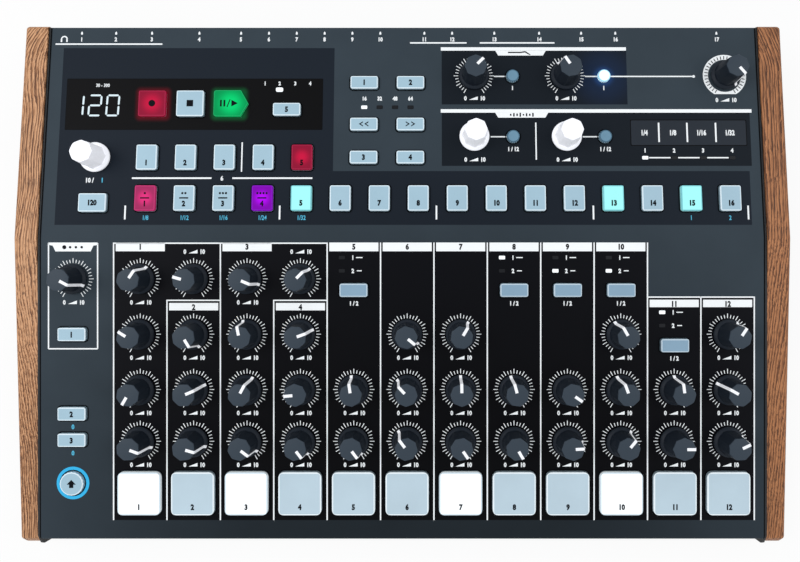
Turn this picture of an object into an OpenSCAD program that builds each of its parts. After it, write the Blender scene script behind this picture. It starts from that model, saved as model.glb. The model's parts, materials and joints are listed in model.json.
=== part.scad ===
// Table-top drum machine: a folded steel top panel with rows of knobs and buttons,
// a steel tray underneath, a socket plate at the back and a wooden cheek at each side.
//
// Frame: X to the right, Y to the back, Z up, origin under the middle of the machine on the table.
// The top panel is folded across its width. Places on it are given from the fold: to the front
// along the sloping front section, and to the back along the rear section.

/* [Panel layout, front] */
// Distance between two channel columns
column_pitch = 33.07; // [33:0.01:38]
// Number of channel columns
column_count = 12; // [12]
// Panel's left edge to the metronome column
metronome_margin = 20.5; // [19:0.5:30]
// Metronome column to the first channel column
metronome_gap = 41.6; // [38:0.1:50]
// Last channel column to the panel's right edge
right_margin = 23.1; // [20:0.1:40]
// Fold to the first row of knobs
first_row = 25.3; // [24:0.1:32]
// Distance between the first three rows of knobs
row_pitch = 34.25; // [32:0.05:40]
// Third row to the row of level knobs
level_pitch = 32.1; // [31:0.1:40]
// Level knobs to the row of pads
pad_pitch = 31.9; // [29:0.1:38]
// Row of pads to the panel's front edge
front_margin = 29.1; // [18:0.1:40]

/* [Panel layout, rear] */
// Fold to the row of sixteen step buttons
step_row = 24.8; // [18:0.1:27]
// Distance between two step buttons
step_pitch = 24.23; // [18:0.01:24.5]
// Panel's left edge to the first step button
step_margin = 64.7; // [60:0.1:68]
// Fold to the row of mode buttons
mode_row = 50.6; // [48:0.1:52]
// Fold to the row of pattern effects
effect_row = 64; // [62:0.1:70]
// Fold to the middle of the display window
window_row = 85; // [84:0.1:88]
// Fold to the row of filter knobs
filter_row = 103.4; // [100:0.1:108]
// Row of filter knobs to the panel's rear edge
rear_margin = 31.6; // [22:0.1:50]
// Middle line of the machine to the cutoff and swing knobs
cutoff_x = 44.9; // [40:0.1:50]
// Distance between the two columns of effect knobs
effect_pitch = 57.8; // [52:0.1:60]
// Panel's right edge to the master volume knob
master_margin = 20.7; // [18:0.1:26]

/* [Case] */
// Height of the fold above the table
fold_z = 42.35; // [40:0.05:60]
// Slope of the front section, degrees
front_slope = 5.5; // [3:0.1:6]
// Slope of the rear section, degrees
rear_slope = 0.9; // [0:0.1:3]
// Thickness of the top panel
panel_t = 1.2; // [1:0.1:1.6]
// Outer radius of the bend at the front edge
bend_r = 2.2; // [2:0.1:5]
// Thickness of the tray's sheet
tray_t = 1.2; // [1:0.1:1.6]
// Gap at each side between the top panel and the tray's wall
panel_gap = 0.1; // [0.05:0.05:0.3]
// Thickness of the socket plate
plate_t = 1.5; // [1:0.1:2]
// How far the socket plate sits in from the panel's rear edge
plate_recess = 2; // [1:0.1:6]
// Height of the feet
foot_h = 3; // [2:0.5:8]
// Radius of a foot
foot_r = 8; // [6:0.5:12]

/* [Wooden cheeks] */
// Thickness of a cheek
cheek_t = 14.6; // [10:0.1:20]
// Rounding of a cheek's edges
cheek_round = 2.4; // [1.5:0.1:4]
// How far a cheek stands above the panel at the fold
cheek_rise = 1.5; // [0.5:0.1:4]
// Slope of a cheek's front part, degrees
cheek_slope = 7.5; // [5.5:0.1:8]
// How far a cheek reaches past the panel's front edge
cheek_front = 4.5; // [2:0.1:10]
// How far a cheek reaches past the panel's rear edge
cheek_rear = 0.8; // [0.2:0.1:10]

/* [Knobs] */
// Radius of a knob's skirt
skirt_r = 9.3; // [8:0.1:10]
// Height of the skirt's upright edge
skirt_h = 1.2; // [0.8:0.1:2]
// Radius of the grip where it meets the skirt
grip_r = 7.9; // [7:0.1:8]
// Radius of the cap
cap_r = 6.9; // [5.5:0.1:7]
// Height of a knob's cap above the panel
knob_h = 15; // [12:0.5:20]
// Height of the cap of the knobs on the rear section
rear_knob_h = 16.4; // [12:0.1:22]
// Number of flats round the grip
grip_flats = 8; // [6:1:12]
// Depth of a flat at the corner it cuts
flat_cut = 0.55; // [0.3:0.05:0.7]
// Width of the pointer line's groove
pointer_w = 1.8; // [1:0.1:2]
// Depth of the pointer line's groove
pointer_d = 0.3; // [0.2:0.05:0.5]
// Gap between a knob and the panel
knob_gap = 1; // [0.9:0.1:2]
// Radius of a potentiometer's shaft
shaft_r = 3; // [2.5:0.1:3.2]
// Radius of the bushing that carries the shaft
bushing_r = 3.9; // [3.8:0.1:4.2]
// Running clearance between shaft and bushing, on the radius
shaft_clearance = 0.05; // [0.02:0.01:0.09]
// Gap between a knob and the shaft that it is pushed onto, on the radius
knob_fit = 0.02; // [0.01:0.01:0.05]

/* [Buttons] */
// Side of a channel pad
pad_size = 26.6; // [22:0.1:28]
// Corner radius of a channel pad
pad_corner = 3.5; // [1.5:0.1:5]
// Width of a step or mode button
step_w = 13; // [10:0.1:15]
// Length of a step or mode button
step_l = 16; // [12:0.1:18]
// Width of a function button
function_w = 17.3; // [14:0.1:19]
// Length of a function button
function_l = 8.2; // [7:0.1:10]
// Length of the tap tempo button
tap_l = 11.6; // [9:0.1:14]
// Width of the record and stop buttons
transport_w = 17.2; // [14:0.1:18]
// Length of the transport buttons
transport_l = 16.6; // [14:0.1:18]
// Width of the play button with its point
play_w = 21.4; // [18:0.1:24]
// Radius of a small round button
round_r = 4; // [3:0.1:5]
// Radius of the shift button
shift_r = 7.3; // [6:0.1:8]
// Corner radius of the small buttons
button_corner = 1.5; // [0.8:0.1:2.5]
// Height of a button above the panel
button_h = 1.8; // [1.3:0.1:3]
// Edge chamfer of a button
button_chamfer = 0.5; // [0.2:0.05:0.8]
// Gap round a button
button_gap = 0.35; // [0.2:0.05:0.6]
// How far a button travels
button_travel = 1; // [0.5:0.1:1.2]

/* [Windows and lamps] */
// Width of the display window
window_w = 162; // [150:0.5:166]
// Length of the display window
window_l = 33; // [26:0.5:34]
// Panel's left edge to the display window
window_margin = 11.8; // [8:0.1:16]
// Width of the touch strip
strip_w = 73; // [60:0.5:76]
// Length of the touch strip
strip_l = 16.6; // [12:0.1:18]
// Panel's right edge to the touch strip
strip_margin = 8.3; // [6:0.1:12]
// Width of a lamp's lens
lens_w = 3.8; // [3:0.1:5]
// Length of a lamp's lens
lens_l = 2.2; // [1.6:0.1:3]
// Gap round a window or lens in its cut-out
lens_gap = 0.1; // [0.05:0.05:0.3]

/* [Boards and sockets] */
// Panel's surface to the control boards' upper face
board_drop = 10; // [9:0.1:12]
// Thickness of a circuit board
board_t = 1.6; // [1.2:0.1:2]
// Height of the socket board's upper face
socket_board_z = 13.6; // [12:0.1:15]
// Bore radius of the 6.35 mm jack sockets
jack_r = 3.2; // [3.1:0.05:3.4]
// Bore length of the 6.35 mm jack sockets
jack_l = 30; // [20:0.5:36]
// Bore radius of the 3.5 mm jack sockets
mini_r = 1.8; // [1.75:0.05:1.9]
// Bore length of the 3.5 mm jack sockets
mini_l = 14; // [10:0.5:18]
// Distance between two single-voice outputs
output_pitch = 17.8; // [15:0.1:20]

/* [Hidden] */
$fn = 48;
hull_fn = 32;
eps = 0.01;

// ---- derived sizes of the case ----
panel_w = metronome_margin + metronome_gap + (column_count - 1) * column_pitch + right_margin;
wall_x = panel_w / 2 + panel_gap;              // inner face of the tray's side wall
cheek_x = wall_x + tray_t;                     // inner face of a cheek
front_len = first_row + 2 * row_pitch + level_pitch + pad_pitch + front_margin;
rear_len = filter_row + rear_margin;
front_reach = front_len * cos(front_slope);    // fold to the panel's front edge, on the ground
rear_reach = rear_len * cos(rear_slope);
level_knob_reach = 7;                          // rear level knob, out from the socket plate
reach_back = max(rear_reach + cheek_rear, rear_reach - plate_recess + level_knob_reach);
reach_front = front_reach + cheek_front;
fold_y = (reach_front - reach_back) / 2;       // the origin is under the middle of the machine
front_y = fold_y - front_reach;
rear_y = fold_y + rear_reach;
rear_z = fold_z + rear_len * sin(rear_slope);
plate_y = rear_y - plate_recess;               // outer face of the socket plate
floor_z = foot_h + tray_t;                     // upper face of the tray's floor
apron_z = foot_h + 0.6;                        // lower edge of the panel's front apron

// ---- columns and rows ----
left_x = -panel_w / 2;
right_x = panel_w / 2;
metronome_x = left_x + metronome_margin;
function column_x(i) = metronome_x + metronome_gap + i * column_pitch;
rows = [first_row, first_row + row_pitch, first_row + 2 * row_pitch,
        first_row + 2 * row_pitch + level_pitch];
pad_row = rows[3] + pad_pitch;
function step_x(i) = left_x + step_margin + i * step_pitch;
resonance_x = cutoff_x + effect_pitch;
master_x = right_x - master_margin;
rate_x = left_x + 32.5;
window_x = left_x + window_margin + window_w / 2;
strip_x = right_x - strip_margin - strip_w / 2;
strip_row = effect_row + 2.6;
function_x = [-24.4, 4.8];

// ---- knobs: name, column, row, clockwise resting angle from twelve o'clock ----
channel_knobs = [
    ["knob_kick1_impact", 0, 0, 34], ["knob_kick1_decay", 0, 1, -58],
    ["knob_kick1_pitch", 0, 2, -150], ["knob_kick1_level", 0, 3, 110],
    ["knob_kick1_sweep", 1, 0, -74], ["knob_kick2_decay", 1, 1, 149],
    ["knob_kick2_pitch", 1, 2, 67], ["knob_kick2_level", 1, 3, 106],
    ["knob_snare_snap_tone", 2, 0, 113], ["knob_snare_snap_decay", 2, 1, -11],
    ["knob_snare_snap_level", 2, 2, 28], ["knob_snare_level", 2, 3, 127],
    ["knob_snare_drum_tone", 3, 0, 45], ["knob_clap_decay", 3, 1, 70],
    ["knob_clap_tone", 3, 2, -95], ["knob_clap_level", 3, 3, 143],
    ["knob_rim_tone", 4, 2, -8], ["knob_rim_level", 4, 3, 143],
    ["knob_closed_hat_decay", 5, 1, 129], ["knob_closed_hat_pitch", 5, 2, -43],
    ["knob_closed_hat_level", 5, 3, -37], ["knob_open_hat_decay", 6, 1, 31],
    ["knob_open_hat_pitch", 6, 2, -1], ["knob_open_hat_level", 6, 3, 146],
    ["knob_high_tom_pitch", 7, 2, -15], ["knob_high_tom_level", 7, 3, 150],
    ["knob_low_tom_pitch", 8, 2, 125], ["knob_low_tom_level", 8, 3, 87],
    ["knob_cymbal_decay", 9, 1, -30], ["knob_cymbal_tone", 9, 2, -20],
    ["knob_cymbal_level", 9, 3, 39], ["knob_shaker_decay", 10, 2, -7],
    ["knob_shaker_level", 10, 3, 90], ["knob_zap_decay", 11, 1, 34],
    ["knob_zap_pitch", 11, 2, -61], ["knob_zap_level", 11, 3, 65]];

// ---- every knob: name, section (front is true), x, distance from the fold, angle, is it white ----
knobs = concat(
    [["knob_metronome_volume", true, metronome_x, rows[0], 118, false]],
    [for (k = channel_knobs) [k[0], true, column_x(k[1]), rows[k[2]], k[3], false]],
    [["knob_cutoff", false, cutoff_x, filter_row, 45, false],
     ["knob_resonance", false, resonance_x, filter_row, -33, false],
     ["knob_master_volume", false, master_x, filter_row, 140, false],
     ["encoder_tempo", false, rate_x, mode_row, 0, true],
     ["encoder_swing", false, cutoff_x, effect_row, 0, true],
     ["encoder_randomness", false, resonance_x, effect_row, 0, true]]);

// ---- buttons: x, distance from the fold, width, length, corner radius ----
pad_buttons = [for (i = [0:column_count - 1]) [column_x(i), pad_row, pad_size, pad_size, pad_corner]];
step_buttons_at = [
    for (i = [0:15]) [step_x(i), step_row, step_w, step_l, button_corner],
    for (i = [0:4]) [step_x(i), mode_row, step_w, step_l, button_corner]];
transport_offsets = [-26, -2.1, 23.6, 58.7];   // record, stop, play and sync buttons from the window's middle
record_x = window_x + transport_offsets[0];
stop_x = window_x + transport_offsets[1];
play_x = window_x + transport_offsets[2];
sync_x = window_x + transport_offsets[3];
transport_buttons_at = [
    [record_x, window_row, transport_w, transport_l, button_corner],
    [stop_x, window_row, transport_w, transport_l, button_corner],
    [sync_x, window_row - 3.8, function_w, function_l, button_corner]];
rear_buttons_at = concat(
    [for (x = function_x, t = [window_row + 13.6, effect_row + 7.7, mode_row])
        [x, t, function_w, function_l, button_corner]],
    [[rate_x - 0.4, step_row - 2.8, function_w, tap_l, button_corner]]);
round_buttons_at = [for (k = [0, 1], t = [filter_row - 0.4, effect_row])
    [cutoff_x + k * effect_pitch + 24.4, t, round_r]];
type_buttons_at = [
    [column_x(4), rows[0] + 7], [column_x(7), rows[0] + 7], [column_x(8), rows[0] + 7],
    [column_x(9), rows[0] + 7], [column_x(10), rows[1] + 6.9]];
front_buttons_at = concat(
    [for (b = type_buttons_at) [b[0], b[1], function_w, function_l, button_corner]],
    [for (v = [rows[1], rows[3] - 17.3, rows[3] - 1.1])
        [metronome_x, v, function_w, function_l, button_corner]]);
shift_at = [metronome_x, pad_row - 6.1, shift_r];

// ---- lamps: x, distance from the fold ----
lamp_offset = -7.4;                            // lamp to its column
front_lamps = concat(
    [for (i = [4, 7, 8, 9], k = [0, 1]) [column_x(i) + lamp_offset, first_row - 13.2 + k * 8.2]],
    [for (k = [0, 1]) [column_x(10) + lamp_offset, first_row + 20.7 + k * 8.2]]);
rear_lamps = concat(
    [for (i = [0:3]) [function_x[0] + i * (function_x[1] - function_x[0]) / 3, window_row - 2]],
    [for (i = [0:3]) [strip_x - 27.7 + i * 18.2, mode_row]]);

// ---- depths under the panel's surface ----
pot_top = 3.4;                                 // upper face of a potentiometer's body
shaft_end = 8.2;                               // lower end of a shaft
pot_floor = 8.4;                               // floor of the bore that the shaft turns in
switch_top = 6.6;                              // upper face of a push switch
plunger_r = 1.7;
plunger_clearance = 0.05;
plunger_end = 8.3;
flange_t = 0.8;
flange_w = 0.8;                                // how far a button's flange reaches under the panel
seat_gap = 0.1;
window_t = 2.2;                                // display window and touch strip, flange included
solder_gap = 0.05;                             // a part on a board stands this far off it

// ---- sockets at the back: x ----
big_jacks = [left_x + 19.6, left_x + 94.5];
mini_jacks = concat([left_x + 41.4], [for (i = [0:5]) left_x + 121.1 + i * output_pitch],
    [left_x + 238, left_x + 255.7]);
level_x = left_x + 64.3;
din_sockets = [left_x + 282.6, left_x + 311.2];
usb_x = left_x + 338;
power_inlet_x = left_x + 359.8;
power_switch_x = right_x - 24.7;
jack_nose_r = 4.6;
mini_nose_r = 2.9;
nose_gap = 0.15;
socket_base_z = socket_board_z + solder_gap;   // underside of the sockets
jack_axis_z = socket_base_z + 7.6;
mini_axis_z = socket_base_z + 5.6;
din_axis_z = socket_base_z + 10;
level_axis_z = socket_base_z + 7;
port_axis_z = socket_base_z + 5.7;             // data socket and power inlet
switch_axis_z = (floor_z + fold_z) / 2;
nut_t = 2;
rocker_r = 8;
rocker_h = 10;
rocker_gap = 0.25;
rocker_tilt = 9;
rocker_ridge = 3.6;                            // height of the ridge between the rocker's two faces
rocker_side = 17.5;                            // where the faces end on the drum, degrees

// ================= shared geometry =================

// Children stand on the front section: x, and the distance from the fold to the front
module on_front(x = 0, v = 0)
    translate([0, fold_y, fold_z]) rotate([front_slope, 0, 0]) translate([x, -v, 0]) children();

// Children stand on the rear section: x, and the distance from the fold to the back
module on_rear(x = 0, t = 0)
    translate([0, fold_y, fold_z]) rotate([rear_slope, 0, 0]) translate([x, t, 0]) children();

module on_section(front, x, d) {
    if (front) on_front(x, d) children();
    else on_rear(x, d) children();
}

// Children look out of the back: their Z is the machine's Y
module on_back(x, z)
    translate([x, plate_y, z]) rotate([-90, 0, 0]) children();

function arc(centre, r, a0, a1, n) =
    [for (i = [0:n]) centre + r * [cos(a0 + (a1 - a0) * i / n), sin(a0 + (a1 - a0) * i / n)]];

function rounded(w, l, r, n = 5) = concat(
    arc([w / 2 - r, l / 2 - r], r, 0, 90, n), arc([-w / 2 + r, l / 2 - r], r, 90, 180, n),
    arc([-w / 2 + r, -l / 2 + r], r, 180, 270, n), arc([w / 2 - r, -l / 2 + r], r, 270, 360, n));

// Outline of the play button: a square with a point to the right
function play_outline(w, l, r, n = 4) = concat(
    arc([-w / 2 + r, l / 2 - r], r, 90, 180, n), arc([-w / 2 + r, -l / 2 + r], r, 180, 270, n),
    [[w / 2 - l * 0.28, -l / 2], [w / 2, 0], [w / 2 - l * 0.28, l / 2]]);

// A profile in the YZ plane, drawn out along X
module along_x(width, points)
    rotate([90, 0, 90]) linear_extrude(width, center = true) polygon(points);

// ================= case =================

bend_y = front_y + bend_r;
bend_z = fold_z + ((bend_y - fold_y) * sin(front_slope) - bend_r) / cos(front_slope);
mid_slope = (front_slope + rear_slope) / 2;

function panel_profile(t) = concat(
    [[rear_y, rear_z], [fold_y, fold_z]],
    arc([bend_y, bend_z], bend_r, 90 + front_slope, 180, 6),
    [[front_y, apron_z], [front_y + t, apron_z]],
    arc([bend_y, bend_z], bend_r - t, 180, 90 + front_slope, 6),
    [[fold_y + t * sin(mid_slope), fold_z - t * cos(mid_slope) / cos(mid_slope - rear_slope)],
     [rear_y + t * sin(rear_slope), rear_z - t * cos(rear_slope)]]);

module cut(points) translate([0, 0, -panel_t - 1]) linear_extrude(panel_t + 2) polygon(points);

module button_cut(b) translate([b[0], b[1]])
    cut(rounded(b[2] + 2 * button_gap, b[3] + 2 * button_gap, b[4] + button_gap));

module round_cut(r) translate([0, 0, -panel_t - 1]) cylinder(h = panel_t + 2, r = r);

lens_corner = 0.5;

module lens_cut(w, l) cut(rounded(w + 2 * lens_gap, l + 2 * lens_gap, lens_corner, 2));

module top_panel() {
    color("#3a4149") difference() {
        along_x(panel_w, panel_profile(panel_t));
        for (k = knobs) on_section(k[1], k[2], k[3]) round_cut(bushing_r + 0.15);
        on_front() mirror([0, 1, 0]) for (b = concat(pad_buttons, front_buttons_at)) button_cut(b);
        on_rear() for (b = concat(step_buttons_at, rear_buttons_at)) button_cut(b);
        for (b = round_buttons_at) on_rear(b[0], b[1]) round_cut(b[2] + button_gap);
        on_front(shift_at[0], shift_at[1]) round_cut(shift_at[2] + button_gap);
        on_rear(window_x, window_row) lens_cut(window_w, window_l);
        on_rear(strip_x, strip_row) lens_cut(strip_w, strip_l);
        for (p = front_lamps) on_front(p[0], p[1]) lens_cut(lens_w, lens_l);
        for (p = rear_lamps) on_rear(p[0], p[1]) lens_cut(lens_w, lens_l);
    }
}

wall_front_y = front_y - cheek_front + 0.8;
lip_y = front_y + panel_t + 0.1;               // the tray's floor starts behind the panel's front apron
wall_profile = [
    [rear_y, foot_h], [rear_y, rear_z + 0.4], [fold_y, fold_z + 0.4], [front_y + bend_r, bend_z + bend_r],
    [wall_front_y + 1, bend_z - 1], [wall_front_y, bend_z - 3], [wall_front_y, foot_h]];
post_r = 3.8;
screw_r = 1.5;
screw_gap = 0.03;                              // round a screw in its hole, on the radius
screw_l = 9;
front_posts = [for (x = [-0.42, 0, 0.42], v = [rows[0] + 16, rows[3] + 16]) [x * panel_w, v]];
rear_posts = [for (x = [-0.42, 0, 0.42]) [x * panel_w, 12]];
socket_posts = [for (x = [-0.45, -0.07, 0.3]) x * panel_w];
socket_post_y = plate_y - 34;

// Everything above the underside of the control boards, taken off the posts that carry them
module above_boards() {
    on_front() translate([-panel_w, -2 * front_len, -board_drop - board_t])
        cube([2 * panel_w, 2 * front_len + 6, 100]);
    on_rear() translate([-panel_w, 0, -board_drop - board_t]) cube([2 * panel_w, 2 * rear_len, 100]);
}

module post() translate([0, 0, foot_h]) cylinder(h = fold_z, r = post_r);

// Countersunk hole from below, for a screw into a post
module screw_hole() translate([0, 0, foot_h]) {
    translate([0, 0, -1]) cylinder(h = screw_l + 1.3, r = screw_r + screw_gap);
    countersink(screw_gap);
}

module countersink(gap) cylinder(h = tray_t, r1 = 2 * screw_r + gap, r2 = screw_r + gap);

// Screws that hold the cheeks, from inside the tray: their Z is outward
module cheek_screw_places()
    for (s = [-1, 1], y = [front_y + 20, fold_y, rear_y - 20])
        translate([s * wall_x, y, foot_h + 9]) rotate([0, s * 90, 0]) children();

module board_post_places() {
    for (p = front_posts) translate([p[0], fold_y - p[1] * cos(front_slope), 0]) children();
    for (p = rear_posts) translate([p[0], fold_y + p[1] * cos(rear_slope), 0]) children();
}

module base_tray() {
    color("#15171a") difference() {
        union() {
            translate([-wall_x, lip_y, foot_h]) cube([2 * wall_x, plate_y - plate_t - lip_y, tray_t]);
            for (s = [-1, 1]) translate([s * (wall_x + tray_t / 2), 0, 0]) along_x(tray_t, wall_profile);
            translate([-wall_x, lip_y, foot_h]) cube([2 * wall_x, tray_t, 11]);
            translate([-wall_x, plate_y - plate_t - tray_t, foot_h]) cube([2 * wall_x, tray_t, 6]);
            difference() {
                board_post_places() post();
                above_boards();
            }
            for (x = socket_posts) translate([x, socket_post_y, foot_h])
                cylinder(h = socket_board_z - board_t - foot_h, r = post_r);
        }
        board_post_places() screw_hole();
        cheek_screw_places() translate([0, 0, -1]) cylinder(h = tray_t + 2, r = screw_r + screw_gap);
        for (x = plate_screws) on_back(x, plate_screw_z) translate([0, 0, -plate_t - 2 * tray_t])
            cylinder(h = 4 * tray_t, r = screw_r + screw_gap);
    }
}

plate_top = rear_z - (plate_recess + plate_t) * tan(rear_slope) - panel_t / cos(rear_slope);

module socket_plate() {
    color("#20242a") difference() {
        translate([-panel_w / 2, plate_y - plate_t, foot_h + 0.2])
            cube([panel_w, plate_t, plate_top - foot_h - 0.2]);
        for (x = big_jacks) on_back(x, jack_axis_z) plate_hole(jack_nose_r + nose_gap);
        for (x = mini_jacks) on_back(x, mini_axis_z) plate_hole(mini_nose_r + nose_gap);
        for (x = din_sockets) on_back(x, din_axis_z) plate_hole(8.2 + nose_gap);
        on_back(level_x, level_axis_z) plate_hole(bushing_r + nose_gap);
        on_back(usb_x, port_axis_z) plate_slot(12, 11);
        on_back(power_inlet_x, port_axis_z) plate_slot(9, 11);
        on_back(power_switch_x, switch_axis_z) plate_slot(19, 13);
        for (x = plate_screws) on_back(x, plate_screw_z) plate_hole(screw_r + nose_gap);
    }
}

plate_screws = [-0.485 * panel_w, -0.15 * panel_w, 0.35 * panel_w, 0.487 * panel_w];
plate_screw_z = foot_h + 4;

module plate_hole(r) translate([0, 0, -plate_t - 1]) cylinder(h = plate_t + 2, r = r);

module plate_slot(w, h) translate([0, 0, -plate_t - 1]) linear_extrude(plate_t + 2)
    polygon(rounded(w + 2 * nose_gap, h + 2 * nose_gap, 0.5));

cheek_front_y = front_y - cheek_front;
cheek_rear_y = rear_y + cheek_rear;
cheek_fold_z = fold_z + cheek_rise;
cheek_corners = [
    [cheek_rear_y - cheek_round, foot_h + cheek_round],
    [cheek_rear_y - cheek_round, rear_z + cheek_rise - cheek_round],
    [fold_y, cheek_fold_z - cheek_round],
    [cheek_front_y + 2 * cheek_round,
     cheek_fold_z - (fold_y - cheek_front_y) * tan(cheek_slope) - 0.6 * cheek_round],
    [cheek_front_y + cheek_round,
     cheek_fold_z - (fold_y - cheek_front_y) * tan(cheek_slope) - 2 * cheek_round],
    [cheek_front_y + cheek_round, foot_h + cheek_round]];

// One cheek: its outer edges are rounded all round, and its inner face is flat
module cheek() difference() {
    hull() for (c = cheek_corners)
        translate([cheek_x, c[0], c[1]]) rotate([0, 90, 0]) rotate_extrude($fn = hull_fn) polygon(
            concat([[0, 0]], arc([0, cheek_t - cheek_round], cheek_round, 0, 90, 6), [[cheek_round, 0]]));
    cheek_screw_places() translate([0, 0, -1]) cylinder(h = screw_l + 1, r = screw_r + screw_gap);
}

module left_cheek() color("#be8c69") mirror([1, 0, 0]) cheek();

module right_cheek() color("#965f3c") cheek();

foot_places = [for (x = [-1, 1], y = [front_y + 22, rear_y - 24]) [x * (panel_w / 2 - 24), y]];

// Round head of a screw, with a cross slot
module pan_head() difference() {
    cylinder(h = 1.6, r1 = 2.8, r2 = 2.2);
    for (a = [0, 90]) rotate([0, 0, a]) translate([-1.5, -0.25, 0.8]) cube([3, 0.5, 2]);
}

module feet() {
    color("#101010") for (p = foot_places) translate([p[0], p[1], 0])
        rotate_extrude() polygon([[0, 0], [foot_r - 0.8, 0], [foot_r, 0.8], [foot_r, foot_h], [0, foot_h]]);
}

module screws() {
    color("#26282b") {
        board_post_places() translate([0, 0, foot_h]) {
            countersink(0);
            cylinder(h = screw_l, r = screw_r);
        }
        for (x = plate_screws) on_back(x, plate_screw_z) {
            translate([0, 0, screw_gap]) pan_head();
            translate([0, 0, -plate_t - tray_t - 1]) cylinder(h = plate_t + tray_t + 1.5, r = screw_r);
        }
        cheek_screw_places() {
            translate([0, 0, -screw_gap]) mirror([0, 0, 1]) pan_head();
            translate([0, 0, -0.5]) cylinder(h = screw_l, r = screw_r);
        }
    }
}

// ================= knobs =================

// Turning shape of a knob: skirt, shoulder, tapering grip and rounded cap
module knob_blank(h)
    rotate_extrude($fn = 64) polygon(concat(
        [[0, knob_gap], [skirt_r - 0.2, knob_gap], [skirt_r, knob_gap + 0.2],
         [skirt_r, knob_gap + skirt_h]],
        [[skirt_r - 0.35, knob_gap + skirt_h + 0.4], [grip_r, knob_gap + skirt_h + 1.2]],
        arc([cap_r - 0.7, h - 0.7], 0.7, 5, 90, 3),
        [[0, h]]));

grip_base = knob_gap + 2.4;                    // the flats start above the skirt
cap_wall = 4;                                  // cap's top to the end of the shaft's bore
function grip_lean(h) = atan((grip_r - cap_r) / (h - grip_base));

module knob_flats(h)
    for (i = [0:grip_flats - 1]) rotate([0, 0, (i + 0.5) * 360 / grip_flats])
        translate([0, grip_r - flat_cut, grip_base]) rotate([grip_lean(h), 0, 0])
            translate([-skirt_r, 0, 0]) cube([2 * skirt_r, skirt_r, h + 2]);

// Groove of the pointer line: over the cap, down the grip and out over the skirt
module pointer_groove(h) {
    translate([-pointer_w / 2, 1.6, h - pointer_d]) cube([pointer_w, skirt_r, 1]);
    translate([0, grip_r - pointer_d, grip_base]) rotate([grip_lean(h), 0, 0])
        translate([-pointer_w / 2, 0, -0.6]) cube([pointer_w, 3, h]);
    translate([-pointer_w / 2, grip_r - pointer_d, knob_gap + skirt_h + 0.5])
        cube([pointer_w, skirt_r, 1]);
}

module knob_body(h, with_pointer) difference() {
    knob_blank(h);
    knob_flats(h);
    if (with_pointer) pointer_groove(h);
    cylinder(h = h - cap_wall, r = shaft_r + knob_fit);
}

module knob_with_shaft(h, with_pointer) {
    knob_body(h, with_pointer);
    translate([0, 0, -shaft_end]) cylinder(h = h - cap_wall + shaft_end - seat_gap, r = shaft_r);
}

module panel_knob(k)
    color(k[5] ? "#f2f2f2" : "#2b2f35") on_section(k[1], k[2], k[3]) rotate([0, 0, -k[4]])
        knob_with_shaft(k[1] ? knob_h : rear_knob_h, !k[5]);

level_knob_r = 5.5;
level_bore = 5.5;

// Small fluted knob on the socket plate, with its shaft
module rear_level_knob() {
    color("#2b2f35") on_back(level_x, level_axis_z) {
        difference() {
            rotate_extrude() polygon([[0, knob_gap], [level_knob_r, knob_gap],
                [level_knob_r, level_knob_reach - 1.2], [level_knob_r - 1.2, level_knob_reach],
                [0, level_knob_reach]]);
            for (i = [0:11]) rotate([0, 0, i * 30 + 15]) translate([level_knob_r + 0.4, 0, 2])
                cylinder(h = level_knob_reach, r = 0.9, $fn = 16);
            translate([-0.5, -level_knob_r - 1, level_knob_reach - pointer_d]) cube([1, level_knob_r, 1]);
            cylinder(h = level_bore, r = shaft_r + knob_fit);
        }
        translate([0, 0, -plate_t - 6])
            cylinder(h = plate_t + 6 + level_bore - seat_gap, r = shaft_r);
    }
}

// ================= buttons =================

// A prism with a chamfered upper edge, from z0 up to z1
module chamfered(points, w, l, z0, z1) intersection() {
    translate([0, 0, z0]) linear_extrude(z1 - z0) polygon(points);
    chamfer_limit(w, l, z0, z1);
    rotate([0, 0, 90]) chamfer_limit(l, w, z0, z1);
}

module chamfer_limit(w, l, z0, z1)
    rotate([90, 0, 0]) linear_extrude(2 * l, center = true) polygon([
        [-w / 2, z0 - 1], [w / 2, z0 - 1], [w / 2, z1 - button_chamfer],
        [w / 2 - button_chamfer, z1], [-w / 2 + button_chamfer, z1], [-w / 2, z1 - button_chamfer]]);

// What every button has under its cap: the flange that holds it in, and the switch plunger
module button_stem(points, seat) {
    translate([0, 0, -seat - seat_gap - flange_t]) linear_extrude(flange_t) polygon(points);
    translate([0, 0, -plunger_end]) cylinder(h = plunger_end - seat, r = plunger_r, $fn = 24);
}

module square_button(b, seat = panel_t) translate([b[0], b[1], 0]) {
    chamfered(rounded(b[2], b[3], b[4]), b[2], b[3], -seat - seat_gap - eps, button_h);
    button_stem(rounded(b[2] + 2 * flange_w, b[3] + 2 * flange_w, b[4] + flange_w), seat);
}

module round_button(r) {
    rotate_extrude() polygon(concat(
        [[0, -panel_t - seat_gap - flange_t], [r + flange_w, -panel_t - seat_gap - flange_t],
         [r + flange_w, -panel_t - seat_gap], [r, -panel_t - seat_gap]],
        arc([r - button_chamfer, button_h - button_chamfer], button_chamfer, 0, 90, 4),
        [[0, button_h]]));
    translate([0, 0, -plunger_end]) cylinder(h = plunger_end - panel_t, r = plunger_r, $fn = 24);
}

module pads() color("#b4c6ce")
    on_front() mirror([0, 1, 0]) for (b = pad_buttons) square_button(b);

module step_buttons() color("#b0c8d4")
    on_rear() for (b = step_buttons_at) square_button(b);

module transport_buttons() color("#b0c8d4") {
    on_rear() for (b = transport_buttons_at) square_button(b, window_t);
    on_rear(play_x, window_row) {
        chamfered(play_outline(play_w, transport_l, button_corner), 2 * play_w, transport_l,
            -window_t - seat_gap - eps, button_h);
        button_stem(play_outline(play_w + 2 * flange_w, transport_l + 2 * flange_w, button_corner),
            window_t);
    }
}

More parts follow.
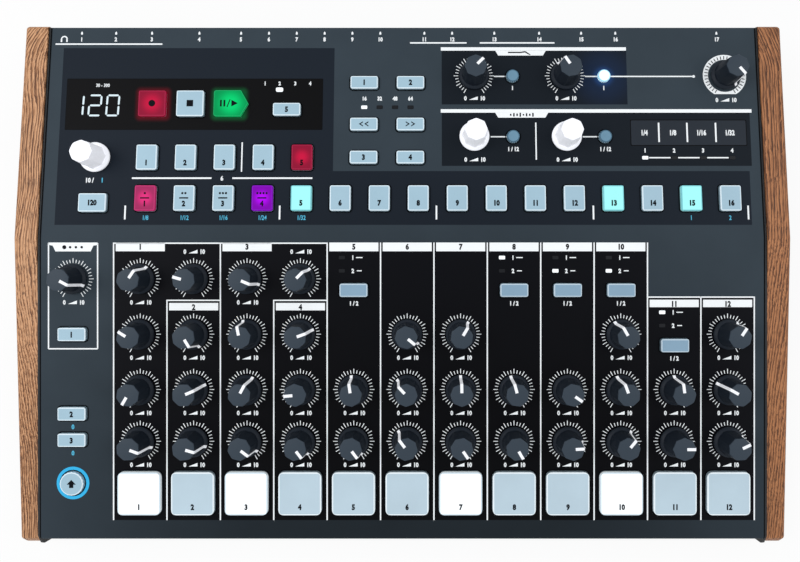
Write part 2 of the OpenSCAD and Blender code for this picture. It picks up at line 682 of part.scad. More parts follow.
module rear_buttons() color("#b0c8d4") {
    on_rear() for (b = rear_buttons_at) square_button(b);
    for (b = round_buttons_at) on_rear(b[0], b[1]) round_button(b[2]);
}

module front_buttons() color("#b0c8d4") {
    on_front() mirror([0, 1, 0]) for (b = front_buttons_at) square_button(b);
    on_front(shift_at[0], shift_at[1]) round_button(shift_at[2]);
}

// ================= inside =================

module potentiometer() difference() {
    union() {
        translate([-5, -6, solder_gap - board_drop]) cube([10, 12, board_drop - pot_top - solder_gap]);
        translate([0, 0, -pot_top - 1]) cylinder(h = pot_top + 1 + 0.7, r = bushing_r);
    }
    translate([0, 0, -pot_floor]) cylinder(h = board_drop, r = shaft_r + shaft_clearance);
}

module push_switch() difference() {
    translate([-3, -3, solder_gap - board_drop]) cube([6, 6, board_drop - switch_top - solder_gap]);
    translate([0, 0, -board_drop + 0.2]) cylinder(h = board_drop, r = plunger_r + plunger_clearance, $fn = 24);
}

module board(x0, x1, y0, y1) translate([x0, y0, -board_drop - board_t]) cube([x1 - x0, y1 - y0, board_t]);

module control_boards() {
    inset = 5;
    color("#1f5a3a") {
        on_front() board(left_x + inset, right_x - inset, -front_len + 10, -4);
        on_rear() board(left_x + inset, right_x - inset, 4, rear_len - 20);
        translate([left_x + inset, plate_y - 40, socket_board_z - board_t])
            cube([panel_w - 2 * inset, 37, board_t]);
    }
    color("#8a8f94") {
        for (k = knobs) on_section(k[1], k[2], k[3]) potentiometer();
        on_front() mirror([0, 1, 0]) for (b = concat(pad_buttons, front_buttons_at, [shift_at]))
            translate([b[0], b[1], 0]) push_switch();
        on_rear() for (b = concat(step_buttons_at, transport_buttons_at, rear_buttons_at, round_buttons_at,
                [[play_x, window_row]]))
            translate([b[0], b[1], 0]) push_switch();
    }
    color("#8a8f94") on_back(level_x, level_axis_z) level_potentiometer();
}

module level_potentiometer() difference() {
    union() {
        translate([-5, -6, -plate_t - 8]) cube([10, 13, 8]);
        translate([0, 0, -plate_t - 1]) cylinder(h = plate_t + 1 + 0.7, r = bushing_r);
    }
    translate([0, 0, -plate_t - 6.2]) cylinder(h = 20, r = shaft_r + shaft_clearance);
}

module lens(w, l, t, flange) {
    translate([0, 0, -t]) linear_extrude(t) polygon(rounded(w, l, lens_corner, 2));
    translate([0, 0, -t]) linear_extrude(t - panel_t)
        polygon(rounded(w + 2 * flange, l + 2 * flange, lens_corner, 2));
}

module lenses() color("#0c0d10") {
    difference() {
        on_rear(window_x, window_row) lens(window_w, window_l, window_t, 0.9);
        on_rear() for (b = transport_buttons_at) translate([b[0], b[1], -3]) linear_extrude(4)
            polygon(rounded(b[2] + 2 * button_gap, b[3] + 2 * button_gap, b[4] + button_gap));
        on_rear(play_x, window_row) translate([0, 0, -3]) linear_extrude(4)
            polygon(play_outline(play_w + 2 * button_gap, transport_l + 2 * button_gap, button_corner));
    }
    on_rear(strip_x, strip_row) lens(strip_w, strip_l, window_t, 0.9);
    for (p = front_lamps) on_front(p[0], p[1]) lens(lens_w, lens_l, window_t, 0.6);
    for (p = rear_lamps) on_rear(p[0], p[1]) lens(lens_w, lens_l, window_t, 0.6);
}

// A jack socket: body behind the plate, nose through it, hexagonal nut in front, blind bore
module jack(r, l, nose_r, nut_r, w, axis_h) difference() {
    union() {
        translate([-w / 2, -w / 2, -plate_t - l - 1]) cube([w, w / 2 + axis_h, l + 1]);
        translate([0, 0, -plate_t - 1]) cylinder(h = plate_t + 1 + nut_t + 0.5, r = nose_r);
        cylinder(h = nut_t, r = nut_r, $fn = 6);
    }
    translate([0, 0, nut_t + 0.5 - l]) cylinder(h = l + 1, r = r);
}

module din_socket() difference() {
    union() {
        translate([-10, -10, -plate_t - 12]) cube([20, 20, 12]);
        translate([0, 0, -plate_t - 1]) cylinder(h = plate_t + 1.3, r = 8.2, $fn = 32);
    }
    translate([0, 0, -6]) difference() {
        cylinder(h = 8, r = 7, $fn = 32);
        translate([0, 0, -1]) cylinder(h = 10, r = 5.9, $fn = 32);
    }
    for (a = [0:45:180]) rotate([0, 0, a]) translate([3.75, 0, -6]) cylinder(h = 8, r = 0.8, $fn = 8);
}

// The tall square data socket, with its shell's two cut corners and the tongue inside
module data_socket() {
    difference() {
        translate([-6, -5.5, -plate_t - 14]) cube([12, 11.2, plate_t + 14.5]);
        translate([0, 0, -9]) linear_extrude(12)
            polygon([[-4.2, 3.9], [4.2, 3.9], [4.2, -2.2], [2.5, -3.9], [-2.5, -3.9], [-4.2, -2.2]]);
    }
    translate([-2.8, -1.6, -10]) cube([5.6, 3.2, 8.5]);
}

module power_inlet() {
    difference() {
        translate([-4.5, -5.5, -plate_t - 12]) cube([9, 11.2, plate_t + 12.5]);
        translate([0, 0, -9]) cylinder(h = 12, r = 2.8);
    }
    translate([0, 0, -10]) cylinder(h = 9.5, r = 1, $fn = 24);
}

module rocker_frame() difference() {
    union() {
        linear_extrude(1.5) polygon(rounded(21.5, 15, 1));
        translate([-9.5, -6.5, -plate_t - 10]) cube([19, 13, plate_t + 10]);
    }
    rotate([90, 0, 0]) {
        cylinder(h = rocker_h + 2 * rocker_gap, r = rocker_r + rocker_gap, center = true);
        cylinder(h = rocker_h + 2.4, r = 1 + shaft_clearance, center = true, $fn = 24);
    }
}

module rear_sockets() color("#1b1c1f") {
    for (x = big_jacks) on_back(x, jack_axis_z) jack(jack_r, jack_l, jack_nose_r, 7, 15, 7.6);
    for (x = mini_jacks) on_back(x, mini_axis_z) jack(mini_r, mini_l, mini_nose_r, 4.4, 9, 5.6);
    for (x = din_sockets) on_back(x, din_axis_z) din_socket();
    on_back(usb_x, port_axis_z) data_socket();
    on_back(power_inlet_x, port_axis_z) power_inlet();
    on_back(power_switch_x, switch_axis_z) rocker_frame();
}

// The rocker turns about an upright axis in its frame: a drum with two flats that meet in a ridge
module power_rocker() color("#101113")
    on_back(power_switch_x, switch_axis_z) rotate([0, rocker_tilt, 0]) union() {
        rotate([90, 0, 0]) linear_extrude(rocker_h, center = true) polygon(concat(
            [[0, rocker_ridge]],
            arc([0, 0], rocker_r, 180 - rocker_side, 360 + rocker_side, 24)));
        rotate([90, 0, 0]) cylinder(h = rocker_h + 2, r = 1, center = true, $fn = 24);
    }

top_panel();
base_tray();
socket_plate();
left_cheek();
right_cheek();
control_boards();
rear_sockets();
lenses();
feet();
screws();
pads();
step_buttons();
transport_buttons();
rear_buttons();
front_buttons();
rear_level_knob();
power_rocker();
for (k = knobs) panel_knob(k);
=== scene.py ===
"""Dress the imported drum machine: finishes, lit caps, panel print, display and studio.

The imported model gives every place: the knobs' joints carry the panel's columns and rows, and the
two sections of the folded top panel are worked out from the joints' axes. Sizes are millimetres
in the classes below and become metres where a mesh is built. A place on the panel is x, across
the machine, and d, the distance from the fold.
"""

from __future__ import annotations

import json
import logging
import math
from dataclasses import dataclass, field
from enum import Enum
from typing import ClassVar, Iterable, Sequence

import bmesh
import bpy
from mathutils import Matrix, Vector

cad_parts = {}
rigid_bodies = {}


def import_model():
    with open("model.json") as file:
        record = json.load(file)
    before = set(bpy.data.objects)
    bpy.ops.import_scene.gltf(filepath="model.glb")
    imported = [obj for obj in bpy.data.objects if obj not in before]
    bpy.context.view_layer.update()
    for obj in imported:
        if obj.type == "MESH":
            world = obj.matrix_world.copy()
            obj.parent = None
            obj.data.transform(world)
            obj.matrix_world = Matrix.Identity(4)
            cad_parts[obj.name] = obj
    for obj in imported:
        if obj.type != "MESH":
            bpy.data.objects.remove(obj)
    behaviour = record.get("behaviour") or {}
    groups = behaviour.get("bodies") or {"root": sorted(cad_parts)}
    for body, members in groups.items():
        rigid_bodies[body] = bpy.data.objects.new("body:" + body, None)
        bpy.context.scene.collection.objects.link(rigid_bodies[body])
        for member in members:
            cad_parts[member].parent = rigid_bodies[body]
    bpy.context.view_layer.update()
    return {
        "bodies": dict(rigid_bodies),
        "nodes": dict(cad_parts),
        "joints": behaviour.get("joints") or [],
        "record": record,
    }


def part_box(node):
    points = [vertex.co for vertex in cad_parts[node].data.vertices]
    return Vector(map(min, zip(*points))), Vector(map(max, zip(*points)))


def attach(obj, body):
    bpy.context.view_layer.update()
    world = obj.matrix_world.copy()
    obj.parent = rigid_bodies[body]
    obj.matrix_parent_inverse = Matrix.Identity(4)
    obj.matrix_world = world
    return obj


LOG = logging.getLogger("drum_machine")
MM = 0.001
Color = tuple[float, float, float]
Place = tuple[float, float]
Point = tuple[float, float, float]
Node = bpy.types.Node
Socket = bpy.types.NodeSocket
Verts = Sequence[bmesh.types.BMVert]


def srgb(red: int, green: int, blue: int) -> Color:
    """Turn an 8-bit display colour into a linear one.

    Args:
        red: red channel, from 0 to 255.
        green: green channel.
        blue: blue channel.

    Returns:
        The linear colour.
    """
    def linear(value: int) -> float:
        """Return the linear value of one channel."""
        part = value / 255
        return part / 12.92 if part <= 0.04045 else ((part + 0.055) / 1.055) ** 2.4
    return linear(red), linear(green), linear(blue)


# ---------------------------------------------------------------- finishes


@dataclass(frozen=True)
class Graph:
    """The shader nodes of a material or of the world, added one by one.

    Args:
        tree: the node tree.
    """

    tree: bpy.types.NodeTree

    def fill(self, node: Node,
             inputs: dict[str | int, Socket | float | Sequence[float]]) -> None:
        """Link or set some inputs of a node.

        Args:
            node: the node.
            inputs: what each input takes, which is another node's output or a constant.
        """
        for key, value in inputs.items():
            if isinstance(value, Socket):
                self.tree.links.new(value, node.inputs[key])
            else:
                node.inputs[key].default_value = value

    def add(self, kind: str, inputs: dict[str | int, Socket | float | Sequence[float]],
            **settings: str) -> Node:
        """Add a shader node.

        Args:
            kind: its kind.
            inputs: what its inputs take.
            settings: its own settings, made before its inputs are.

        Returns:
            The node.
        """
        node = self.tree.nodes.new(f"ShaderNode{kind}")
        for name, value in settings.items():
            setattr(node, name, value)
        self.fill(node, inputs)
        return node

    def place(self) -> Socket:
        """Return the object coordinates."""
        return self.add("TexCoord", {}).outputs["Object"]

    def math(self, operation: str, first: Socket, second: Socket | float) -> Socket:
        """Return an operation on two values."""
        return self.add("Math", {0: first, 1: second}, operation=operation).outputs["Value"]

    def vector(self, operation: str, *sources: Socket | Point) -> Node:
        """Return the node of an operation on vectors."""
        return self.add("VectorMath", dict(enumerate(sources)), operation=operation)

    def noise(self, place: Socket, scale: float, detail: float, distortion: float = 0.0) -> Socket:
        """Return a noise at some coordinates."""
        return self.add("TexNoise", {"Vector": place, "Scale": scale, "Detail": detail,
                                     "Distortion": distortion}).outputs["Fac"]

    def between(self, value: Socket, ends: Place, results: Place,
                curve: str = "LINEAR") -> Socket:
        """Return a value that goes between two results as another goes between two ends.

        Args:
            value: the other value.
            ends: its ends.
            results: the results there.
            curve: how the result goes from one to the other.

        Returns:
            The result.
        """
        return self.add("MapRange", {"Value": value, "From Min": ends[0], "From Max": ends[1],
                                     "To Min": results[0], "To Max": results[1]},
                        interpolation_type=curve).outputs["Result"]

    def mix(self, share: Socket | float, first: Socket, second: Socket | Sequence[float],
            data_type: str = "RGBA") -> Socket:
        """Return a blend of two colours or values, with a share of the second one."""
        return self.add("Mix", {"Factor": share, "A": first, "B": second},
                        data_type=data_type).outputs["Result"]

    def ramp(self, source: Socket, stops: Sequence[tuple[float, Color]]) -> Socket:
        """Return the colour that a value meets among the stops.

        Args:
            source: the value.
            stops: each stop's place and colour.

        Returns:
            The colour.
        """
        node = self.add("ValToRGB", {"Fac": source})
        elements = node.color_ramp.elements
        while len(elements) < len(stops):
            elements.new(0.5)
        for element, (place, color) in zip(elements, stops):
            element.position = place
            element.color = (*color, 1)
        return node.outputs["Color"]

    def bump(self, height: Socket, strength: float, distance: float) -> Socket:
        """Return the normal of a surface raised by a value, at most by a distance in metres."""
        return self.add("Bump", {"Height": height, "Strength": strength,
                                 "Distance": distance}).outputs["Normal"]


class Surface:
    """A finish that becomes one material, under its own name."""

    name: str

    def build(self) -> bpy.types.Material:
        """Make the material on first use.

        Returns:
            The material.
        """
        material = bpy.data.materials.get(self.name)
        if not material:
            material = bpy.data.materials.new(self.name)
            material.use_nodes = True
            self.dress(Graph(material.node_tree), material.node_tree.nodes["Principled BSDF"])
        return material

    def dress(self, graph: Graph, shader: Node) -> Socket:
        """Add the finish's nodes and return its colour."""
        raise NotImplementedError


@dataclass(frozen=True)
class Finish(Surface):
    """A moulded, painted or printed surface with fine mottling and grain.

    Args:
        name: material name.
        color: linear base colour.
        roughness: mean roughness.
        metallic: metallic share.
        mottle: how much the colour varies, as a share.
        grain: bump strength of the fine grain.
        specular: specular level.
        light: linear colour of the light in it.
        strength: emission strength.
    """

    name: str
    color: Color
    roughness: float = 0.5
    metallic: float = 0.0
    mottle: float = 0.08
    grain: float = 0.15
    specular: float = 0.5
    light: Color = (0.0, 0.0, 0.0)
    strength: float = 0.0

    CLOUDS: ClassVar[float] = 38.0
    GRAINS: ClassVar[float] = 2600.0
    UNEVEN: ClassVar[float] = 0.06
    RELIEF: ClassVar[float] = 0.05 * MM

    def dress(self, graph: Graph, shader: Node) -> Socket:
        """Add clouds to the colour, and grain to the roughness and the surface.

        Args:
            graph: the material's nodes.
            shader: its shader.

        Returns:
            The colour.
        """
        place = graph.place()
        thin, full = (tuple(min(1.0, part * share) for part in self.color)
                      for share in (1 - self.mottle, 1 + self.mottle))
        tones = graph.ramp(graph.noise(place, self.CLOUDS, 4.0), [(0.3, thin), (0.7, full)])
        fine = graph.noise(place, self.GRAINS, 2.0)
        rough = (max(0.02, self.roughness - self.UNEVEN), min(1.0, self.roughness + self.UNEVEN))
        graph.fill(shader, {
            "Base Color": tones, "Metallic": self.metallic, "Specular IOR Level": self.specular,
            "Emission Color": (*self.light, 1), "Emission Strength": self.strength,
            "Roughness": graph.between(fine, (0.0, 1.0), rough),
            "Normal": graph.bump(fine, self.grain, self.RELIEF)})
        return tones


@dataclass(frozen=True)
class WoodFinish(Surface):
    """Oiled hardwood with long grain and short dark pores along the machine's depth.

    Args:
        name: material name.
        pale: colour of the early wood.
        middle: colour between the two.
        deep: colour of the grain lines.
        pore: colour of the short dark pores.
        heart: middle of the growth rings across the machine and above its foot, in metres.
        bend: how far the grain runs aside at the rear end, in metres.
        waver: how far it wavers to each side, in metres.
        turn: where along the machine it starts to run aside and where it has, in metres.
        drift: how much the tone drifts to each side.
        figured: share of the finer figure in the tone, next to the rings.
        shares: length across the grain to length along it, of the rings, figure and pores.
    """

    name: str
    pale: Color
    middle: Color
    deep: Color
    pore: Color
    heart: Place
    bend: float
    waver: float = 0.0032
    turn: Place = (0.13, 0.183)
    drift: float = 0.05
    figured: float = 0.62
    shares: tuple[float, float, float] = (0.05, 0.04, 0.035)

    def dress(self, graph: Graph, shader: Node) -> Socket:
        """Add growth rings with a finer figure, the pores and their relief.

        Args:
            graph: the material's nodes.
            shader: its shader.

        Returns:
            The colour.
        """
        place, drift = self.grain(graph)
        rings_at, figure_at, pores_at = (self.stretched(graph, place, share)
                                         for share in self.shares)
        rings = graph.add("TexWave", {
            "Vector": rings_at, "Scale": 215.0, "Distortion": 10.0, "Detail": 6.0,
            "Detail Scale": 0.75, "Detail Roughness": 0.72},
            wave_type="RINGS", rings_direction="Y", wave_profile="SAW").outputs["Fac"]
        figure = graph.noise(figure_at, 1500.0, 7.0, 0.5)
        shade = graph.math("ADD", graph.mix(self.figured, rings, figure, "FLOAT"),
                           graph.between(drift, (0.3, 0.7), (-self.drift, self.drift)))
        tones = graph.ramp(shade, [(0.37, self.deep), (0.48, self.middle), (0.59, self.pale)])
        pores = graph.noise(pores_at, 2600.0, 2.0)
        cut = graph.ramp(pores, [(0.35, (0.85, 0.85, 0.85)), (0.43, (0, 0, 0))])
        color = graph.mix(cut, tones, (*self.pore, 1))
        graph.fill(shader, {
            "Base Color": color, "Specular IOR Level": 0.3,
            "Roughness": graph.between(figure, (0.0, 1.0), (0.66, 0.46)),
            "Normal": graph.bump(pores, 0.4, 0.15 * MM)})
        return color

    def grain(self, graph: Graph) -> tuple[Socket, Socket]:
        """Follow the wavering grain.

        Args:
            graph: the material's nodes.

        Returns:
            Coordinates along the grain, and the slow drift in its tone.
        """
        place = graph.place()
        x, y, z = graph.add("SeparateXYZ", {"Vector": place}).outputs
        drift = graph.noise(place, 11.0, 2.0)
        waver = graph.between(drift, (0.25, 0.75), (-self.waver, self.waver))
        aside = graph.math("SUBTRACT", x,
                           graph.between(y, self.turn, (0.0, self.bend), "SMOOTHSTEP"))
        moved = graph.add("CombineXYZ", {"X": graph.math("ADD", aside, waver), "Y": y,
                                         "Z": graph.math("ADD", z, waver)})
        return moved.outputs["Vector"], drift

    def stretched(self, graph: Graph, place: Socket, share: float) -> Socket:
        """Return the coordinates drawn out along the grain to 1/share of their length."""
        return graph.add("Mapping", {
            "Vector": place, "Location": (-self.heart[0], 0, -self.heart[1]),
            "Scale": (1.0, share, 1.0)}).outputs["Vector"]


@dataclass(frozen=True)
class Glow:
    """Light that fades with the distance from an upright block.

    Args:
        centre: middle of the block, in metres, in the row frame.
        half: its half width and half length, in metres.
        reach: where the fading ends, in metres.
        strength: strength at the block's sides.
        rest: strength from there on.
    """

    centre: Point
    half: Place
    reach: float
    strength: float
    rest: float = 0.0

    def spread(self, graph: Graph, place: Socket) -> Socket:
        """Return the faded strength.

        Args:
            graph: the material's nodes.
            place: object coordinates.

        Returns:
            The strength.
        """
        offset = graph.vector("SUBTRACT", place, self.centre).outputs["Vector"]
        outward = graph.vector("ABSOLUTE", offset).outputs["Vector"]
        beyond = graph.vector("SUBTRACT", outward, (*self.half, 1.0)).outputs["Vector"]
        clear = graph.vector("MAXIMUM", beyond, (0.0, 0.0, 0.0)).outputs["Vector"]
        return graph.between(graph.vector("LENGTH", clear).outputs["Value"], (0.0, self.reach),
                             (self.strength, self.rest), "SMOOTHERSTEP")


@dataclass(frozen=True)
class HaloFinish(Surface):
    """Smoked plastic that catches the light of a lit cap.

    Args:
        name: material name.
        color: linear colour of the plastic.
        light: linear colour of the light.
        glow: how the light fades round the cap.
    """

    name: str
    color: Color
    light: Color
    glow: Glow

    def dress(self, graph: Graph, shader: Node) -> Socket:
        """Add the plastic and the light.

        Args:
            graph: the material's nodes.
            shader: its shader.

        Returns:
            The plastic's colour.
        """
        plastic = Finish(self.name, self.color, mottle=0.03, specular=0.05, light=self.light)
        color = plastic.dress(graph, shader)
        graph.fill(shader, {"Emission Strength": self.glow.spread(graph, graph.place())})
        return color


@dataclass(frozen=True)
class KnobFinish(Surface):
    """Moulded knob plastic with its top painted paler, a painted highlight where the light falls on
    it.

    Args:
        name: material name.
        flank: finish of the skirt and the grip.
        face: linear colour of the top, with the painted highlight in it.
        foot: a place on the panel, in metres, in the row frame.
        normal: the panel's normal.
        height: height over the panel from which the face's colour starts, in metres.
        blur: half the height over which one colour becomes the other, in metres.
    """

    name: str
    flank: Finish
    face: Color
    foot: Point
    normal: Point
    height: float
    blur: float = 0.1 * MM

    def dress(self, graph: Graph, shader: Node) -> Socket:
        """Paint the top paler by its height over the panel, as a painted highlight.

        Args:
            graph: the material's nodes.
            shader: its shader.

        Returns:
            The colour.
        """
        tones = self.flank.dress(graph, shader)
        over = graph.vector("SUBTRACT", graph.place(), self.foot).outputs["Vector"]
        share = graph.between(graph.vector("DOT_PRODUCT", over, self.normal).outputs["Value"],
                              (self.height - self.blur, self.height + self.blur), (0.0, 1.0))
        color = graph.mix(share, tones, (*self.face, 1))
        graph.fill(shader, {"Base Color": color})
        return color


@dataclass(frozen=True)
class PaintedPanel(Surface):
    """Powder coat with darker printed grounds, painted shade strips beside the cheeks, painted
    shade and light across it, and the painted glow of one lit button on it.

    Args:
        coat: the powder coat.
        grounds: each ground's low corner, high corner and colour, in metres, in the row frame; the
            painted shade strips beside the cheeks are among them.
        dusk: painted shade and light, as the coat's brightness: lower round one place and higher
            away from it.
        lamp: middle of the lit button, in metres.
        light: linear colour of its light.
        glows: reach in metres and emission strength of the painted glow's wide and near part.
    """

    coat: Finish
    grounds: tuple[tuple[Place, Place, Color], ...]
    dusk: Glow
    lamp: Point
    light: Color = srgb(44, 104, 190)
    glows: tuple[Place, Place] = ((0.03, 0.07), (0.009, 0.4))

    @property
    def name(self) -> str:
        """Return the material name."""
        return self.coat.name

    def dress(self, graph: Graph, shader: Node) -> Socket:
        """Print the grounds, paint shade on the coat round one place and light away from it, and
        paint the glow round the lit button.

        Args:
            graph: the material's nodes.
            shader: its shader.

        Returns:
            The colour.
        """
        tones = self.coat.dress(graph, shader)
        place = graph.place()
        for low, high, color in self.grounds:
            inside = self.mask(graph, place, low, high)
            tones = graph.mix(inside, tones, (*color, 1))
        # Painted shade and light: the colour is scaled down round the front's middle and up away
        # from it.
        color = graph.add("VectorMath", {0: tones, "Scale": self.dusk.spread(graph, place)},
                          operation="SCALE").outputs["Vector"]
        # Painted glow of the lit button on the coat.
        wide, near = (Glow(self.lamp, (0.0, 0.0), reach, strength).spread(graph, place)
                      for reach, strength in self.glows)
        graph.fill(shader, {
            "Base Color": color, "Emission Color": (*self.light, 1),
            "Emission Strength": graph.math("MULTIPLY", graph.math("ADD", wide, near), inside)})
        return color

    @staticmethod
    def mask(graph: Graph, place: Socket, low: Place, high: Place) -> Socket:
        """Tell the inside of an upright box from the outside.

        Args:
            graph: the material's nodes.
            place: object coordinates.
            low: the box's low corner.
            high: its high corner.

        Returns:
            1 inside and 0 outside.
        """
        centre, half = (tuple((b + sign * a) / 2 for a, b in zip(low, high)) + (0.0,)
                        for sign in (1, -1))
        offset = graph.vector("SUBTRACT", place, centre).outputs["Vector"]
        outward = graph.vector("ABSOLUTE", offset).outputs["Vector"]
        beyond = graph.vector("SUBTRACT", outward, half).outputs["Vector"]
        x, y, _ = graph.add("SeparateXYZ", {"Vector": beyond}).outputs
        return graph.math("LESS_THAN", graph.math("MAXIMUM", x, y), 0.0)


PANEL = Finish("panel_powder_coat", srgb(50, 59, 66), roughness=0.52, mottle=0.05, grain=0.2,
               specular=0.05)
ZONE_FRONT = srgb(9, 10, 15)
ZONE_STEPS = srgb(26, 32, 40)
ZONE_DEEP = srgb(21, 26, 32)
# The white print's faint emission is a painted glow.
INK = Finish("white_print", srgb(246, 249, 250), roughness=0.6, mottle=0.02, specular=0.1,
             light=srgb(246, 250, 252), strength=0.06)
BLUE_INK = Finish("blue_print", srgb(92, 190, 222), roughness=0.6, mottle=0.02, specular=0.1)
# The blue shift ring's emission is a painted glow on the print.
RING_BLUE = Finish("shift_ring_print", srgb(56, 176, 224), roughness=0.5, mottle=0.03,
                   specular=0.1, light=srgb(40, 170, 230), strength=0.12)
BLACK_INK = Finish("black_print", srgb(8, 12, 18), roughness=0.5, mottle=0.04, specular=0.05)
# Black used for painted shade: round the caps and beside the cheeks, where gaps cast their shadow.
PAINTED_GAP_SHADE = Finish("seam_black", srgb(6, 8, 11), roughness=0.8, mottle=0.04, specular=0.04)
TRAY = Finish("tray_powder_coat", srgb(24, 26, 29), roughness=0.5, grain=0.3, specular=0.3)
SOCKET = Finish("socket_plastic_black", srgb(26, 27, 29), roughness=0.4)
RUBBER = Finish("foot_rubber_black", srgb(22, 22, 22), roughness=0.85, grain=0.4)
SCREW = Finish("screw_steel_black", srgb(66, 67, 70), roughness=0.35, metallic=0.9)
BOARD = Finish("board_green", srgb(30, 84, 52), roughness=0.45)
KNOB = Finish("knob_charcoal", srgb(25, 32, 41), roughness=0.5, mottle=0.05, grain=0.25,
              specular=0.16)
# The knobs' paler top is a painted highlight, where the light falls on them.
KNOB_TOP_PAINTED_LIGHT = srgb(54, 64, 74)
# The white encoders' emission is a painted glow that lightens their shaded sides.
ENCODER = Finish("encoder_white", srgb(230, 231, 237), roughness=0.36, mottle=0.01, grain=0.05,
                 specular=0.3, light=srgb(250, 251, 255), strength=0.32)
# The pointers' emission is a painted glow.
POINTER = Finish("pointer_white", srgb(232, 233, 236), roughness=0.5, mottle=0.01, specular=0.2,
                 light=srgb(250, 251, 255), strength=0.2)
WINDOW = Finish("window_smoked", srgb(10, 10, 12), roughness=0.5, mottle=0.03, grain=0.02,
                specular=0.05)
TOUCH = Finish("touch_strip_satin", srgb(38, 44, 52), roughness=0.5, mottle=0.03, specular=0.1)
LENS_DARK = Finish("lens_unlit", srgb(22, 24, 28), roughness=0.4, specular=0.12)
DIGIT = Finish("display_segments", srgb(196, 212, 218), roughness=0.4, mottle=0.03,
               light=srgb(214, 230, 234), strength=0.22)
CAP = Finish("cap_frosted", srgb(166, 196, 211), roughness=0.42, mottle=0.03, grain=0.1,
             specular=0.2)
# The edge finishes of the caps and pads are paler, and two glow faintly: a painted highlight on
# their rounded edge and border.
CAP_EDGE_HIGHLIGHT = Finish("cap_frosted_edge", srgb(222, 238, 246), roughness=0.36, mottle=0.03,
                  grain=0.1, specular=0.3, light=srgb(222, 238, 246), strength=0.05)
CAP_LOW = Finish("cap_frosted_low", srgb(138, 168, 189), roughness=0.42, mottle=0.03, grain=0.1,
                 specular=0.2)
# Painted highlight on the edges of the lower caps.
CAP_LOW_EDGE_HIGHLIGHT = Finish("cap_frosted_low_edge", srgb(198, 216, 228), roughness=0.36, mottle=0.03,
                      grain=0.1, specular=0.3)
PAD_IDLE = Finish("pad_frosted", srgb(193, 213, 224), roughness=0.45, mottle=0.04, grain=0.1,
                  specular=0.2)
# Painted highlight on the pads' edges.
PAD_EDGE_HIGHLIGHT = Finish("pad_frosted_edge", srgb(236, 246, 250), roughness=0.38, mottle=0.03,
                  grain=0.1, specular=0.3, light=srgb(236, 246, 250), strength=0.08)
LEFT_WOOD = WoodFinish("cheek_wood_left", srgb(212, 160, 118), srgb(168, 116, 77),
                       srgb(100, 60, 34), srgb(64, 37, 21), (-0.32, -0.01), 0.017)
RIGHT_WOOD = WoodFinish("cheek_wood_right", srgb(182, 122, 79), srgb(144, 92, 57),
                        srgb(86, 49, 27), srgb(54, 31, 17), (0.31, -0.02), -0.014)

# Light of a lit cap's edge, whose paler colour is partly a painted highlight, and of a spot's
# middle and the rest of its cap, as shares of the colour's.
EDGE_GLOW = 0.3
SPOT_GLOW = (2.0, 0.75)


class Light(Enum):
    """The colours a cap or a lamp can be lit in: plastic, light, strength and edge, the last a
    paler painted highlight.
    """

    WHITE = (srgb(232, 236, 238), srgb(246, 252, 255), 0.4, srgb(206, 222, 230))
    CYAN = (srgb(140, 206, 206), srgb(158, 248, 244), 0.42, srgb(120, 190, 200))
    RED = (srgb(84, 22, 44), srgb(236, 4, 62), 0.32, srgb(150, 36, 68))
    PINK = (srgb(100, 44, 70), srgb(240, 26, 124), 0.42, srgb(182, 56, 108))
    PURPLE = (srgb(70, 2, 100), srgb(178, 0, 240), 0.52, srgb(116, 24, 172))
    GREEN = (srgb(0, 80, 46), srgb(0, 210, 112), 0.5, srgb(40, 164, 104))
    ICE = (srgb(206, 234, 246), srgb(200, 240, 255), 1.0, srgb(150, 210, 240))
    SKY = (srgb(112, 146, 166), srgb(50, 140, 190), 0.06, srgb(80, 110, 130))

    @property
    def glow(self) -> Color:
        """Return the linear colour of the light."""
        return self.value[1]

    def face(self) -> Finish:
        """Return the finish of a cap or a lamp lit in this colour."""
        color, light, strength, _ = self.value
        return Finish(f"lit_{self.name.lower()}", color, roughness=0.42, mottle=0.04,
                      light=light, strength=strength, specular=0.1)

    def edge(self) -> Finish:
        """Return the finish of the edge of a lit cap: its lamp's light, with a paler colour as a
        painted highlight.
        """
        _, light, strength, rim = self.value
        return Finish(f"lit_{self.name.lower()}_edge", rim, roughness=0.4, mottle=0.03,
                      light=light, strength=strength * EDGE_GLOW, specular=0.08)

    def spot(self, name: str, centre: Point, reach: float) -> HaloFinish:
        """Return the finish of one cap whose lamp shows as a brighter spot.

        Args:
            name: material name.
            centre: middle of the spot, in metres.
            reach: how far it spreads, in metres.

        Returns:
            The finish.
        """
        color, light, strength, _ = self.value
        middle, rest = (strength * share for share in SPOT_GLOW)
        return HaloFinish(name, color, light, Glow(centre, (0.0, 0.0), reach, middle, rest))


# ---------------------------------------------------------------- places on the panel


CHANNELS = 12
HALF_SWEEP = 150
# Heights: of the knobs on the front section and on the rear one, of what lies on a window or
# on a cap, of the painted shade round a button and of the shift ring, and of a cap's frosted
# skin over its button.
KNOB_TOPS = {True: 15.0, False: 16.4}
FILM = 0.05
TRIM = 0.12
SKIN = 0.03
# Width, length and corner radius of a cap.
SMALL_CAP = (17.3, 8.2, 1.5)
TALL_CAP = (17.2, 16.6, 1.5)
STEP_CAP = (13, 16, 1.5)
ROUND_CAP = (8, 8, 3.99)
# The lit round button, and the first place and the pitch of a row.
BYPASS = (127.1, 103.0)
STEP_ROW = (-159.785, 24.23)
BAR_LAMPS = (-24.4, 9.73)
STRIP_LAMPS = (152.0, 18.2)


@dataclass(frozen=True)
class TypeSwitch:
    """A channel's type button, with its two lamps behind it.

    Args:
        column: the channel's column, numbered from 0.
        lit: which of its lamps is lit, if one is.
        lamps: distances of the lamps from the fold.
        cap: distance of its cap.
        label: distance of the numbers under the cap.
    """

    column: int
    lit: int | None
    lamps: Place = (12.1, 20.3)
    cap: float = 32.3
    label: float = 40.4


